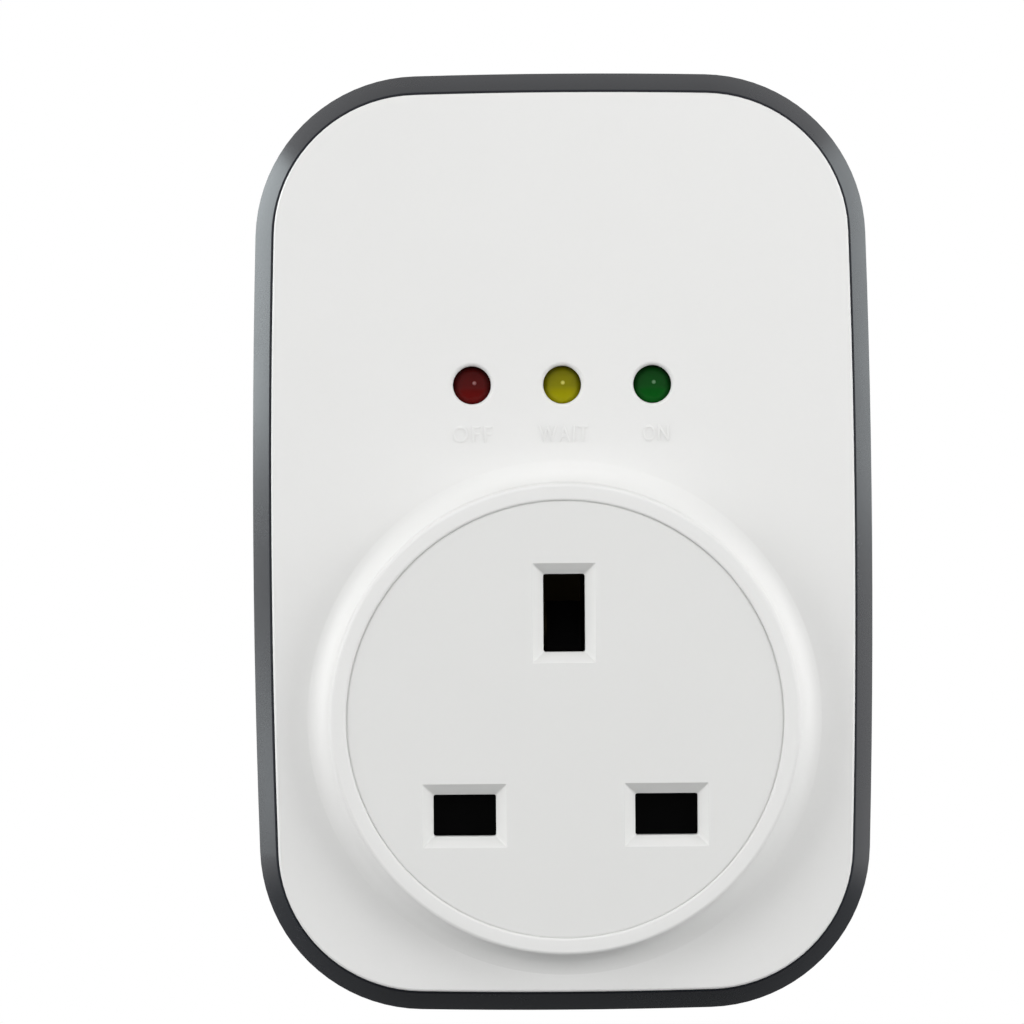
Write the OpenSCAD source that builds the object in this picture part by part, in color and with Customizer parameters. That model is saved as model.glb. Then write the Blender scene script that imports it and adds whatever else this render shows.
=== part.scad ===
// Plug-through voltage protector for a household appliance.
// A square-pin plug stands on the back, a shuttered socket on the front,
// and a relay board with three indicator lamps sits above the socket.
//
// Every piece is drawn in plan: x to the right, y up, and z out of the wall
// towards the user, with the wall's face at z = 0 and the middle of the pin
// pattern at x = y = 0. stand_up() turns the plan upright at the very end,
// so that plan z becomes -Y and plan y becomes +Z.

/* [Case] */
// Width of the case
case_w = 69.5; // [68:0.1:76]
// Height of the case
case_h = 105.2; // [104:0.1:114]
// Radius of the four corners
corner_r = 18.9; // [17:0.1:20]
// Depth from the back wall to the front face
body_depth = 34; // [33.5:0.1:40]
// Thickness of the case's side wall
case_wall = 2.3; // [2.1:0.05:2.6]
// Thickness of the back wall
back_wall = 2.2; // [1.6:0.1:3]
// Width of the sloping rim seen from the front
rim_slope_w = 1.9; // [1:0.05:2]
// Depth of the sloping rim
rim_slope_d = 4; // [2:0.1:6]
// Radius of the case's back edge
back_edge_r = 4; // [2:0.1:5]
// How far the side wall leans in towards the back
case_draft = 0.8; // [0.1:0.1:1]

/* [Front cover] */
// Thickness of the cover's face
cover_wall = 2.2; // [1.8:0.1:2.6]
// Thickness of the cover's skirt inside the case
skirt_wall = 1.6; // [1.2:0.1:1.8]
// Depth of the skirt behind the front face
skirt_depth = 5; // [4:0.1:6]
// Gap between the cover and the rim round it
cover_gap = 0.2; // [0.1:0.05:0.3]
// How far the cover stands proud of the rim
cover_step = 1.5; // [0.8:0.1:2]
// Radius of the cover's front edge
cover_edge_r = 0.4; // [0.3:0.1:1.2]

/* [Socket] */
// Outer radius of the raised ring round the socket
ring_r = 26; // [25.8:0.05:26.3]
// Height of the raised ring above the front face
ring_height = 4.5; // [4.2:0.1:6]
// Radius of the hollow flare at the foot of the ring
flare_r = 2.4; // [2.3:0.05:2.5]
// Radius of the round socket face
face_r = 24; // [23.9:0.05:24.1]
// Thickness of the round socket face
face_t = 2.6; // [2:0.1:2.8]
// Width of a line slot
line_slot_w = 6.9; // [6.8:0.05:7.1]
// Height of a line slot
line_slot_h = 4.6; // [4.5:0.05:4.7]
// Width of the earth slot
earth_slot_w = 4.6; // [4.4:0.05:4.7]
// Height of the earth slot
earth_slot_h = 8.6; // [8.5:0.05:8.7]
// Width and depth of the bevel round each slot
slot_bevel = 1.2; // [0.6:0.05:1.5]

/* [Plug] */
// Distance between the line pins, and of the earth pin above them
pin_pitch = 22.23; // [22.1:0.01:22.4]
// Width of a line pin
line_pin_w = 6.35; // [6.25:0.01:6.45]
// Thickness of every pin
pin_t = 4; // [3.95:0.01:4.05]
// Length of a line pin
line_pin_len = 17.7; // [17.2:0.05:18.2]
// Width of the earth pin
earth_pin_w = 8; // [7.95:0.01:8.05]
// Length of the earth pin
earth_pin_len = 22.73; // [22.2:0.01:23.2]
// Height of the raised plug base on the back
base_height = 5; // [4.4:0.1:6]
// Width of the raised plug base
base_w = 52; // [50:0.5:54]
// Height of the raised plug base's outline
base_h = 48; // [46:0.5:50]

/* [Indicators] */
// Distance between neighbouring lamps
lamp_pitch = 10; // [9:0.1:11]
// Radius of a lamp's lens
lamp_r = 2.5; // [2.4:0.05:2.6]
// Height of a lamp over its dome
lamp_height = 8.6; // [8:0.1:9]
// Radius of a lamp's hole in the cover
lamp_hole_r = 2.3; // [2.2:0.05:2.35]
// Height of the lamp row, as a share of the case's height
lamp_row_share = 0.66588; // [0.66:0.002:0.672]

/* [Board] */
// Thickness of the circuit board
board_t = 1.6; // [1.2:0.1:2]
// Gap between the circuit board and the case beside it
board_gap = 2.45; // [2:0.05:3]
// Width of the relay
relay_w = 31; // [30.5:0.1:32]
// Height of the relay's footprint
relay_h = 25.5; // [25:0.1:26]
// How far the relay stands off the board
relay_depth = 17.6; // [17.2:0.1:18.6]

/* [Hidden] */

// Smoothness of rounds, and steps of an arc in a profile
$fn = 64;
arc_steps = 8;

// Clearances and the overrun that every cut shares
fit = 0.05;
slip = 0.25;
seat = 0.3;
over = 1;

// Colours
dark_grey = [0.27, 0.28, 0.31];
warm_white = [0.91, 0.91, 0.90];
ink_black = [0.04, 0.04, 0.04];
brass = [0.80, 0.64, 0.32];
steel = [0.66, 0.67, 0.69];
copper = [0.72, 0.42, 0.24];

// Depths above the wall
back_z = base_height;
floor_z = back_z + back_wall;
front_z = back_z + body_depth;
rim_z = front_z - cover_step;
ring_z = front_z + ring_height;
plate_z = front_z - cover_wall;
face_drop = 0.2;
face_z = ring_z - face_drop;

// Outline of the case: width, height and corner radius
case_low_y = -33.7;
case_mid_y = case_low_y + case_h / 2;
case_outline = [case_w, case_h, corner_r];

// Shares of a corner radius that the swept edge and the core block take
edge_share = 0.65;
core_share = 0.48;

// Pin and slot places
line_x = pin_pitch / 2;
line_y = -pin_pitch / 2;
earth_y = pin_pitch / 2;
live_at = [line_x, line_y];
neutral_at = [-line_x, line_y];
earth_at = [0, earth_y];

// Socket face and its seat in the cover
face_y = -0.55;
face_at = [0, face_y];
face_gap = 0.15;
opening_r = face_r + face_gap;
face_skirt_t = 1.1;
face_flange_r = 25.4;
face_flange_t = 1.4;
face_back_z = face_z - face_t;
flange_seat_r = face_flange_r + fit;
ring_edge_r = 0.4;
flare_sink = 0.1;
ring_in_r = opening_r - over;

// Case screws, their bosses in the case and their posts under the cover
boss_r = 4.2;
post_r = 3.2;
screw_r = 1.4;
screw_head_r = 2.8;
screw_head_h = 2.2;
screw_len = 18;
screw_hole_r = 1.7;
counterbore_r = 3.1;
boss_depth = 18.7;
boss_top_z = back_z + boss_depth;
screw_seat_z = back_z + boss_depth / 2;
boss_in_share = 0.466;
case_corner = corner_at(case_outline);
case_screw_x = case_corner.x + corner_r * boss_in_share;
case_screw_y = case_corner.y + corner_r * boss_in_share;
case_screw_at = [for (sx = [-1, 1], sy = [-1, 1]) [sx * case_screw_x, case_mid_y + sy * case_screw_y]];

// Socket base: a plate behind the socket face with a tower round each contact
shutter_t = 2;
base_front_z = face_back_z - shutter_t - 2 * slip;
base_plate_t = 3;
base_back_z = plate_z - base_plate_t;
base_front_r = face_r - face_skirt_t - slip;
base_plate_r = face_flange_r;
bar_half_h = 4;
bar_t = 2;
bar_z = base_back_z - bar_t;
arm_z = bar_z - bar_t;
base_post_r = 2.3;
base_post_turn = 30;
base_post_out = base_plate_r + base_post_r + seat + seat + seat;
base_post_at = [for (s = [-1, 1]) face_at + s * base_post_out * [cos(base_post_turn), sin(base_post_turn)]];
arm_end = base_post_out + base_post_r;
small_screw_r = 1;
small_screw_len = 6.5;
small_head_r = 2.1;
small_head_h = 1.5;
head_rim_share = 0.6;
head_top_share = 0.72;
slot_w_share = 0.3;
slot_len_share = 1.2;
slot_floor_share = 0.45;
point_share = 0.9;
point_tip_share = 0.3;

// Contacts: the two leaves stand a plug pin's thickness apart
grip = 0.1;
leaf_t = 0.8;
lip_len = 1.6;
lip_out = 0.9;
tail_w = 4;
pocket_wall = 1.5;
pocket_room = 0.7;
pocket_half_t = pin_t / 2 + grip + lip_out + leaf_t + grip;
pocket_front_t = 1.8;
line_pocket_w = line_pin_w + 2 * pocket_room;
earth_pocket_w = earth_pin_w + 2 * pocket_room;
line_pocket_z = base_front_z - pocket_front_t;
mouth_gap = 0.3;
tip_room = 1.1;
line_web_z = face_z - line_pin_len - tip_room;
earth_web_z = face_z - earth_pin_len - tip_room;
web_t = 1;
line_skirt = 5;
earth_skirt = 3.5;
line_tower_z = line_web_z - line_skirt;
earth_tower_z = earth_web_z - earth_skirt;
tail_out = 4;
earth_tail_out = 1;

// Shutter: blades over the line slots, and a ramp in the earth pin's way
blade_over = 0.7;
blade_side = 0.8;
shutter_travel = line_slot_h + blade_over + grip;
stem_half_w = 3.2;
ramp_half_w = 1.9;
ramp_drop = 4.4;
ramp_foot = 3.8;
ramp_crest_y = earth_y - earth_slot_h / 2 + shutter_travel + grip;
ramp_reach = 1.5;
ramp_end_z = plate_z - ramp_reach;
shutter_front_z = face_back_z - slip;
shutter_back_z = shutter_front_z - shutter_t;
blade_top = line_y + line_slot_h / 2 + blade_over;
blade_bottom = line_y - line_slot_h / 2 - blade_over;
blade_end_x = line_x + line_slot_w / 2 + blade_side;
ramp_slot_z = ramp_end_z - slip;
earth_bridge = 1.2;
earth_pocket_z = ramp_slot_z - earth_bridge;

// Shutter spring, upright in a channel behind the shutter
spring_wire_r = 0.2;
spring_coil_r = 1.45;
spring_turns = 9;
spring_end_turns = 1;
channel_half_w = 2;
finger_t = 1.6;
finger_over = 0.5;
finger_top = blade_top + finger_over;
spring_top = finger_top - finger_t;
spring_bottom = -21;
spring_sink = 1.95;
spring_z = base_front_z - spring_sink;
channel_z = spring_z - spring_coil_r - spring_wire_r - slip;

// Plug base on the back
base_corner_r = 12;
base_outline = [base_w, base_h, base_corner_r];
base_mid_y = -1;
base_wall = 2.5;
base_rim_wall = 2.2;
base_edge = 1;

// Pins, their sleeves and the clamp that holds their collars
sleeve_len = 9.3;
sleeve_wall = 0.55;
collar_out = 1.3;
collar_t = 2.2;
pin_tip = 0.9;
tang_w = 5;
tang_t = 1.6;
tang_top_z = 13;
clamp_t = 2.2;
collar_z = base_wall + collar_t;
clamp_z = collar_z + clamp_t;
clamp_boss_r = 2.5;
clamp_screw_x = 9.5;
clamp_screw_at = [[0, line_y], [-clamp_screw_x, earth_y], [clamp_screw_x, earth_y]];
clamp_end = 6.4;
clamp_low = [line_x + clamp_end, 4.8];
clamp_high = [13, 5.9];
link_w = 5;
link_t = 1;

// Circuit board, hung from posts under the cover
lamp_recess = 0.2;
board_front_z = front_z - lamp_recess - lamp_height;
board_back_z = board_front_z - board_t;
lamp_row = case_low_y + case_h * lamp_row_share;
lamp_above_edge = 6.85;
board_top_gap = 3.2;
board_low = lamp_row - lamp_above_edge;
board_top = case_low_y + case_h - case_wall - board_top_gap;
board_half_w = case_w / 2 - case_wall - board_gap;
corner_cut_x = 8.857;
corner_cut_y = 12.9;
board_top_half_w = case_screw_x - corner_cut_x;
board_shoulder = case_mid_y + case_screw_y - corner_cut_y;
board_post_r = 2.6;
board_post_in = 3.5;
board_post_up = 3;
high_post_gap = 2;
high_post_up = 26.2;
high_post_x = relay_w / 2 + small_head_r + high_post_gap;
board_screw_at = [for (s = [-1, 1]) each
    [[s * (board_half_w - board_post_in), board_low + board_post_up], [s * high_post_x, board_low + high_post_up]]];
board_screw_len = 6;
leg_r = 0.35;
leg_hole_r = 0.45;
leg_out = 1.2;

// Lamps
lamp_flange_r = 2.9;
lamp_flange_h = 1;
lamp_leg_w = 0.5;
lamp_leg_gap = 2.54;
lamp_bevel = 0.4;
lamp_relief_r = lamp_r + seat;
lamp_relief = 0.9;
lamp_at = [for (k = [-1, 0, 1]) [k * lamp_pitch, lamp_row]];

// Relay: everything is placed from its middle and from the board's back
relay_up = 22.25;
relay_at = [0, board_low + relay_up];
relay_wall = 1;
relay_base_t = 2.2;
relay_base_z = board_back_z - relay_base_t;
relay_lift = 0.3;
relay_back_z = board_back_z - relay_depth;
iron_t = 1.6;
iron_half_w = 5;
yoke_x = -9.8;
core_x = -0.5;
core_r = 2.8;
coil_r = 6.6;
coil_flange_r = 7.2;
coil_flange_t = 0.8;
pole_gap = 1;
hinge_gap = 0.15;
armature_t = 1.4;
armature_room = 0.9;
armature_z = relay_back_z + relay_wall + armature_room + armature_t;
armature_tail = 1.4;
armature_end = 9.2;
contact_x = 11;
contact_r = 1.6;
contact_h = 1;
contact_gap = 1.55;
blade_t = 0.3;
blade_end = 12.8;
terminal_x = 13.1;
terminal_t = 0.6;
terminal_r = 0.5;
coil_pin_x = -12.5;
coil_pin_y = 9;

// Other parts on the board, placed from its middle and its lower edge
film_size = [8, 16, 14];
film_place = [21.5, 14.8];
film_leg = 5;
can_r = 5;
can_h = 16;
can_place = [-21.8, 14.5];
can_leg = 2.5;
can_groove = 0.35;
can_groove_z = 2.2;
disc_r = 6;
disc_t = 4;
disc_lift = 1.5;
disc_place = [-14, 2.7];
disc_leg = 3.75;
chip_size = [9.4, 6.3, 3.3];
chip_lift = 0.6;
chip_place = [-4, 17];
chip_legs = 4;
chip_leg_gap = 2.54;
chip_leg_w = 0.5;
resistor_count = 4;
resistor_r = 1.15;
resistor_len = 6.3;
resistor_lead = 5;
resistor_lift = 0.2;
resistor_gap = 3;
resistor_place = [8.5, 11.5];
diode_count = 4;
diode_r = 1;
diode_len = 4.2;
diode_lead = 4;
diode_gap = 2.5;
diode_place = [2, 25];
lead_wire_r = 0.3;
board_origin = [0, board_low];
film_at = board_origin + film_place;
can_at = board_origin + can_place;
disc_at = board_origin + disc_place;
chip_at = board_origin + chip_place;
resistor_at = [for (k = [0:resistor_count - 1]) board_origin + resistor_place + [0, k * resistor_gap]];
diode_at = [for (k = [0:diode_count - 1]) board_origin + diode_place + [0, k * diode_gap]];

// Wires
power_wire_r = 1.3;
signal_wire_r = 0.8;
wire_sides = 8;
wire_steps = 5;
wire_out = 3;
pad_up = 2;
live_out_pad_in = 10;
live_in_pad_in = 16.5;
neutral_pad_x = -3.5;
tag_in = 2.5;
tail_in = 2.2;
strap_in = 1.5;
pad_y = board_low + pad_up;
tang_face_y = line_y + tang_t / 2;
live_in_pad = [board_half_w - live_in_pad_in, pad_y, board_back_z];
live_out_pad = [board_half_w - live_out_pad_in, pad_y, board_back_z];
neutral_pad = [neutral_pad_x, pad_y, board_back_z];
live_in_start = [line_x, tang_face_y, tang_top_z - tag_in];
live_out_start = [line_x, tang_face_y, line_tower_z - tail_in];
neutral_start = [-line_x, tang_face_y + link_t, tang_top_z + strap_in];
live_in_shares = [[0.2, 0.4, 0], [0.5, 0.68, 0.08], [0.9, 0.9, 0.42]];
live_out_shares = [[0.35, 0.35, 0], [0.7, 0.62, 0], [0.98, 0.92, 0.34]];
neutral_shares = [[0, 0.35, 0], [0.25, 0.6, 0.02], [0.85, 0.9, 0.3]];

// Shapes that repeat

// Centre of an outline's corner arc
function corner_at(o) = [o[0] / 2 - o[2], o[1] / 2 - o[2]];

// Points of an arc about a centre, from one angle to another
function arc(centre, r, from, to) =
    [for (k = [0:arc_steps]) let (a = from + (to - from) * k / arc_steps)
        centre + r * [cos(a), sin(a)]];

// Sweeps the profile in children() round an outline. Profile x is 0 on the
// outline and negative inside it, and profile y is the depth.
module sweep_round(o) {
    c = corner_at(o);
    for (m = [0, 1]) {
        mirror([m, 0, 0]) translate([o[0] / 2, c.y, 0]) rotate([90, 0, 0])
            linear_extrude(2 * c.y) children();
        mirror([0, m, 0]) translate([-c.x, o[1] / 2, 0]) rotate([90, 0, 90])
            linear_extrude(2 * c.x) children();
    }
    for (mx = [0, 1], my = [0, 1]) mirror([mx, 0, 0]) mirror([0, my, 0])
        translate(c) rotate_extrude(angle = 90) translate([o[2], 0]) children();
}

// Solid of an outline whose edge runs through [inset, depth] points
module outline_solid(o, edge) {
    reach = o[2] * edge_share;
    low = edge[0][1];
    high = edge[len(edge) - 1][1];
    half = corner_at(o) + [o[2], o[2]] * core_share;
    sweep_round(o)
        polygon(concat([for (p = edge) [-p[0], p[1]]], [[-reach, high], [-reach, low]]));
    translate([-half.x, -half.y, low]) cube([2 * half.x, 2 * half.y, high - low]);
}

// Box of a plan size about a plan point, between two depths
module slab(at, size, z0, z1) {
    translate([at.x - size.x / 2, at.y - size.y / 2, z0]) cube([size.x, size.y, z1 - z0]);
}

// Upright cylinder at a plan point, between two depths
module post(at, r, z0, z1) {
    translate([at.x, at.y, z0]) cylinder(r = r, h = z1 - z0);
}

// Extrudes a profile drawn in y and z to both sides of x = 0
module across(width) {
    rotate([90, 0, 90]) linear_extrude(width, center = true) children();
}

// Slot mouth whose four sides slope outwards to a face at depth z
module slot_mouth(at, w, h, z) {
    b = slot_bevel;
    translate([at.x, at.y, z]) intersection() {
        across(w + 2 * b + over)
            polygon([[-h / 2, -b], [h / 2, -b], [h / 2 + b + over, over], [-h / 2 - b - over, over]]);
        rotate([90, 0, 0]) linear_extrude(h + 2 * b + over + over, center = true)
            polygon([[-w / 2, -b], [w / 2, -b], [w / 2 + b + over, over], [-w / 2 - b - over, over]]);
    }
}

// Cross-head screw: its head's underside is at z = 0 and its shaft runs up
module screw(shaft_r, shaft_len, head_r, head_h) {
    slot_w = head_r * slot_w_share;
    slot_len = head_r * slot_len_share;
    point = shaft_r * point_share;
    rim = head_h * head_rim_share;
    difference() {
        union() {
            translate([0, 0, -rim]) cylinder(r = head_r, h = rim);
            translate([0, 0, -head_h]) cylinder(r1 = head_r * head_top_share, r2 = head_r, h = head_h - rim);
            cylinder(r = shaft_r, h = shaft_len - point);
            translate([0, 0, shaft_len - point]) cylinder(r1 = shaft_r, r2 = shaft_r * point_tip_share, h = point);
        }
        for (turn = [0, 90]) rotate(turn)
            slab([0, 0], [slot_len, slot_w], -head_h - over, -head_h * slot_floor_share);
    }
}

// Unit vector, and u made square to t
function unit(v) = v / norm(v);
function square_to(u, t) = unit(u - (u * t) * t);

// Direction of a path at its point i
function heading(p, i) = unit(p[min(i + 1, len(p) - 1)] - p[max(i - 1, 0)]);

// Tube of the given radius along a path
module tube(p, r, sides) {
    n = len(p);
    side = [for (i = 0, u = square_to([1, 0.2, 0.1], heading(p, 0)); i < n;
            i = i + 1, u = square_to(u, heading(p, min(i, n - 1)))) u];
    points = [for (i = [0:n - 1], k = [0:sides - 1]) let (a = 360 * k / sides, t = heading(p, i))
        p[i] + r * (cos(a) * side[i] + sin(a) * cross(t, side[i]))];
    walls = [for (i = [0:n - 2], k = [0:sides - 1]) let (m = (k + 1) % sides)
        each [[i * sides + k, (i + 1) * sides + k, (i + 1) * sides + m],
              [i * sides + k, (i + 1) * sides + m, i * sides + m]]];
    caps = [[for (k = [0:sides - 1]) k], [for (k = [sides - 1:-1:0]) (n - 1) * sides + k]];
    polyhedron(points, concat(walls, caps));
}

// Smooth path through the points of a route
function bend(a, b, c, d, t) =
    0.5 * (2 * b + (c - a) * t + (2 * a - 5 * b + 4 * c - d) * t * t
        + (3 * b - a - 3 * c + d) * t * t * t);
function smooth(p, steps) =
    let (n = len(p))
    concat([for (i = [0:n - 2], k = [0:steps - 1])
        bend(p[max(i - 1, 0)], p[i], p[i + 1], p[min(i + 2, n - 1)], k / steps)], [p[n - 1]]);

// Route of a wire: straight out along y from its start, and straight into the board along z
function route(s, e, shares) = concat([s], smooth(concat(
    [s + [0, wire_out, 0]],
    [for (q = shares) [s.x + (e.x - s.x) * q[0], s.y + (e.y - s.y) * q[1], s.z + (e.z - s.z) * q[2]]],
    [e - [0, 0, wire_out]]), wire_steps), [e]);

module stand_up() {
    rotate([90, 0, 0]) children();
}

// Casing

module rear_case() {
    back_centre = [case_draft + back_edge_r, back_z + back_edge_r];
    back_edge = [for (p = arc(back_centre, back_edge_r, 270, 180)) p];
    color(dark_grey) stand_up() difference() {
        union() {
            difference() {
                translate([0, case_mid_y]) outline_solid(case_outline,
                    concat(back_edge, [[0, rim_z - rim_slope_d], [rim_slope_w, rim_z]]));
                translate([0, case_mid_y]) outline_solid(case_outline,
                    [[case_wall + back_wall, floor_z], [case_wall, floor_z + back_wall],
                     [case_wall, rim_z + over]]);
            }
            translate([0, base_mid_y]) outline_solid(base_outline,
                [[base_edge, 0], [0, base_edge], [0, floor_z]]);
            for (at = case_screw_at) post(at, boss_r, back_z + back_wall / 2, boss_top_z);
        }
        translate([0, base_mid_y]) outline_solid(base_outline,
            [[base_rim_wall, base_wall], [base_rim_wall, floor_z + over]]);
        for (at = case_screw_at) {
            post(at, screw_hole_r, back_z - over, boss_top_z + over);
            post(at, counterbore_r, back_z - over, screw_seat_z);
        }
        for (at = [live_at, neutral_at])
            slab(at, [line_pin_w + 2 * fit, pin_t + 2 * fit], -over, base_wall + over);
        slab(earth_at, [pin_t + 2 * fit, earth_pin_w + 2 * fit], -over, base_wall + over);
    }
    color(dark_grey) stand_up() for (at = clamp_screw_at) difference() {
        post(at, clamp_boss_r, base_wall, collar_z);
        post(at, small_screw_r + fit, base_wall - over, collar_z + over);
    }
}

module front_cover() {
    inset = case_wall + cover_gap;
    edge_centre = [inset + cover_edge_r, front_z - cover_edge_r];
    ring_top = [ring_r - ring_edge_r, ring_z - ring_edge_r];
    flare_centre = [ring_r + flare_r, front_z + flare_r - flare_sink];
    color(warm_white) stand_up() difference() {
        union() {
            difference() {
                translate([0, case_mid_y]) outline_solid(case_outline,
                    concat([[inset, front_z - skirt_depth]], arc(edge_centre, cover_edge_r, 180, 90)));
                translate([0, case_mid_y]) outline_solid(case_outline,
                    [[inset + skirt_wall, front_z - skirt_depth - over], [inset + skirt_wall, plate_z]]);
            }
            translate(face_at) rotate_extrude() polygon(concat(
                [[ring_in_r, plate_z + cover_wall / 2],
                 [ring_r + flare_r, plate_z + cover_wall / 2]],
                arc(flare_centre, flare_r, 270, 180), arc(ring_top, ring_edge_r, 0, 90),
                [[ring_in_r, ring_z]]));
            for (at = case_screw_at) post(at, post_r, boss_top_z + seat, plate_z + cover_wall / 2);
            for (at = board_screw_at) post(at, board_post_r, board_front_z, plate_z + cover_wall / 2);
            for (at = base_post_at) post(at, base_post_r, bar_z, plate_z + cover_wall / 2);
        }
        post(face_at, opening_r, plate_z - over, ring_z + over);
        post(face_at, flange_seat_r, plate_z - over, plate_z + face_flange_t + fit);
        for (at = lamp_at) {
            post(at, lamp_hole_r, plate_z - over, front_z + over);
            post(at, lamp_relief_r, plate_z - over, plate_z + lamp_relief);
            translate([at.x, at.y, front_z - lamp_bevel])
                cylinder(r1 = lamp_hole_r, r2 = lamp_hole_r + lamp_bevel + over, h = lamp_bevel + over);
        }
        for (at = case_screw_at)
            post(at, screw_r + fit, boss_top_z, screw_seat_z + screw_len + seat);
        for (at = board_screw_at)
            post(at, small_screw_r + fit, board_front_z - over, board_back_z + board_screw_len + seat);
        for (at = base_post_at)
            post(at, small_screw_r + fit, bar_z - over, arm_z + small_screw_len + seat);
    }
}

module socket_face() {
    notch_half_w = blade_end_x + slip;
    color(warm_white) stand_up() difference() {
        union() {
            post(face_at, face_r, plate_z, face_z);
            post(face_at, face_flange_r, plate_z, plate_z + face_flange_t);
        }
        post(face_at, face_r - face_skirt_t, plate_z - over, face_back_z);
        translate([-notch_half_w, face_y - face_r - over, shutter_back_z - slip])
            cube([2 * notch_half_w, face_r + over + blade_bottom, face_back_z - shutter_back_z + slip]);
        for (at = [live_at, neutral_at]) {
            slab(at, [line_slot_w, line_slot_h], face_back_z - over, face_z + over);
            slot_mouth(at, line_slot_w, line_slot_h, face_z);
        }
        slab(earth_at, [earth_slot_w, earth_slot_h], face_back_z - over, face_z + over);
        slot_mouth(earth_at, earth_slot_w, earth_slot_h, face_z);
    }
}

module case_screws() {
    color(steel) stand_up() for (at = case_screw_at) translate([at.x, at.y, screw_seat_z])
        screw(screw_r, screw_len, screw_head_r, screw_head_h);
}

// Socket

module tower(at, size, z) {
    slab(at, size + [2, 2] * pocket_wall, z, base_back_z + base_plate_t / 2);
}

module socket_base() {
    line_pocket = [line_pocket_w, 2 * pocket_half_t];
    earth_pocket = [2 * pocket_half_t, earth_pocket_w];
    bar_in = base_plate_r - 2 * fit;
    color(ink_black) stand_up() difference() {
        union() {
            post(face_at, base_front_r, base_back_z, base_front_z);
            post(face_at, base_plate_r, base_back_z, plate_z);
            for (at = [live_at, neutral_at]) tower(at, line_pocket, line_tower_z);
            tower(earth_at, earth_pocket, earth_tower_z);
            translate(face_at) rotate(base_post_turn) {
                slab([0, 0], [2 * bar_in, 2 * bar_half_h], arm_z, base_back_z + base_plate_t / 2);
                slab([0, 0], [2 * arm_end, 2 * bar_half_h], arm_z, bar_z);
            }
        }
        for (at = [live_at, neutral_at]) {
            slab(at, line_pocket, line_tower_z - over, line_pocket_z);
            slab(at, [line_slot_w, line_slot_h] + [2, 2] * grip, line_pocket_z - over, base_front_z + over);
        }
        slab(earth_at, earth_pocket, earth_tower_z - over, earth_pocket_z);
        slab(earth_at, [earth_slot_w, earth_slot_h] + [2, 2] * grip, earth_pocket_z - over, base_front_z + over);
        ramp_slot();
        spring_channel();
        for (at = base_post_at) post(at, small_screw_r + slip, arm_z - over, bar_z + over);
    }
}

// Room for the shutter's ramp over its whole travel
module ramp_slot() {
    low = ramp_crest_y - earth_slot_h - ramp_foot - shutter_travel;
    translate([-ramp_half_w - slip, low, ramp_slot_z])
        cube([2 * (ramp_half_w + slip), ramp_crest_y + slip - low, base_front_z + over - ramp_slot_z]);
}

// Channel that holds the spring and lets the shutter's finger run down it
module spring_channel() {
    translate([-channel_half_w, spring_bottom, channel_z])
        cube([2 * channel_half_w, finger_top + fit - spring_bottom, base_front_z + over - channel_z]);
}

module base_screws() {
    color(steel) stand_up() for (at = base_post_at) translate([at.x, at.y, arm_z])
        screw(small_screw_r, small_screw_len, small_head_r, small_head_h);
}

module shutter() {
    ramp_foot_y = ramp_crest_y - earth_slot_h + line_slot_h / 2;
    ramp_low = ramp_crest_y - earth_slot_h - ramp_foot + slip;
    sweep_r = opening_r - slip;
    color(ink_black) stand_up() union() {
        intersection() {
            union() {
                translate([-blade_end_x, blade_bottom, shutter_back_z])
                    cube([2 * blade_end_x, blade_top - blade_bottom, shutter_t]);
                translate([-stem_half_w, blade_bottom, shutter_back_z])
                    cube([2 * stem_half_w, earth_y - earth_slot_h / 2 - blade_bottom, shutter_t]);
            }
            post([0, face_y + shutter_travel], sweep_r, shutter_back_z - over, shutter_front_z + over);
        }
        across(2 * ramp_half_w) polygon([
            [ramp_low, shutter_front_z - shutter_t / 2], [ramp_low, ramp_end_z],
            [ramp_crest_y, ramp_end_z], [ramp_crest_y, shutter_front_z - ramp_drop],
            [ramp_foot_y, shutter_front_z], [ramp_foot_y - shutter_t, shutter_front_z]]);
        translate([-channel_half_w + slip, spring_top, channel_z + slip])
            cube([2 * (channel_half_w - slip), finger_t, shutter_back_z + shutter_t / 2 - channel_z - slip]);
    }
}

module shutter_spring() {
    r = spring_wire_r;
    rings = 8;
    total = spring_turns + 2 * spring_end_turns;
    low = spring_bottom + r + fit;
    high = spring_top - r - fit;
    pitch_end = 2 * r + fit;
    free = high - low - 2 * spring_end_turns * pitch_end;
    path = [for (k = [0:total * rings]) let (t = k / rings,
        up = t < spring_end_turns ? t * pitch_end
            : t > total - spring_end_turns
                ? high - low - (total - t) * pitch_end
                : spring_end_turns * pitch_end + free * (t - spring_end_turns) / spring_turns)
        [spring_coil_r * cos(360 * t), low + up, spring_z + spring_coil_r * sin(360 * t)]];
    color(steel) stand_up() tube(path, r, 6);
}

// Contact with two sprung leaves, drawn with the pin's thickness along y
module contact(pin_w, pocket_w, mouth_z, web_z, tail_z) {
    g = pin_t / 2 + grip;
    half = [[g, web_z], [g, mouth_z - lip_len], [g + lip_out, mouth_z],
            [g + lip_out + leaf_t, mouth_z], [g + leaf_t, mouth_z - lip_len], [g + leaf_t, web_z - web_t]];
    across(pin_w - 2 * grip) polygon(concat(half,
        [for (k = [len(half) - 1:-1:0]) [-half[k].x, half[k].y]]));
    slab([0, 0], [pocket_w - 2 * fit, 2 * (pocket_half_t - fit)], web_z - web_t, web_z);
    translate([-tail_w / 2, tang_t / 2 - leaf_t, tail_z]) cube([tail_w, leaf_t, web_z - tail_z - web_t / 2]);
}

module live_contact() {
    color(brass) stand_up() translate(live_at)
        contact(line_pin_w, line_pocket_w, line_pocket_z - mouth_gap, line_web_z, line_tower_z - tail_out);
}

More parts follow.
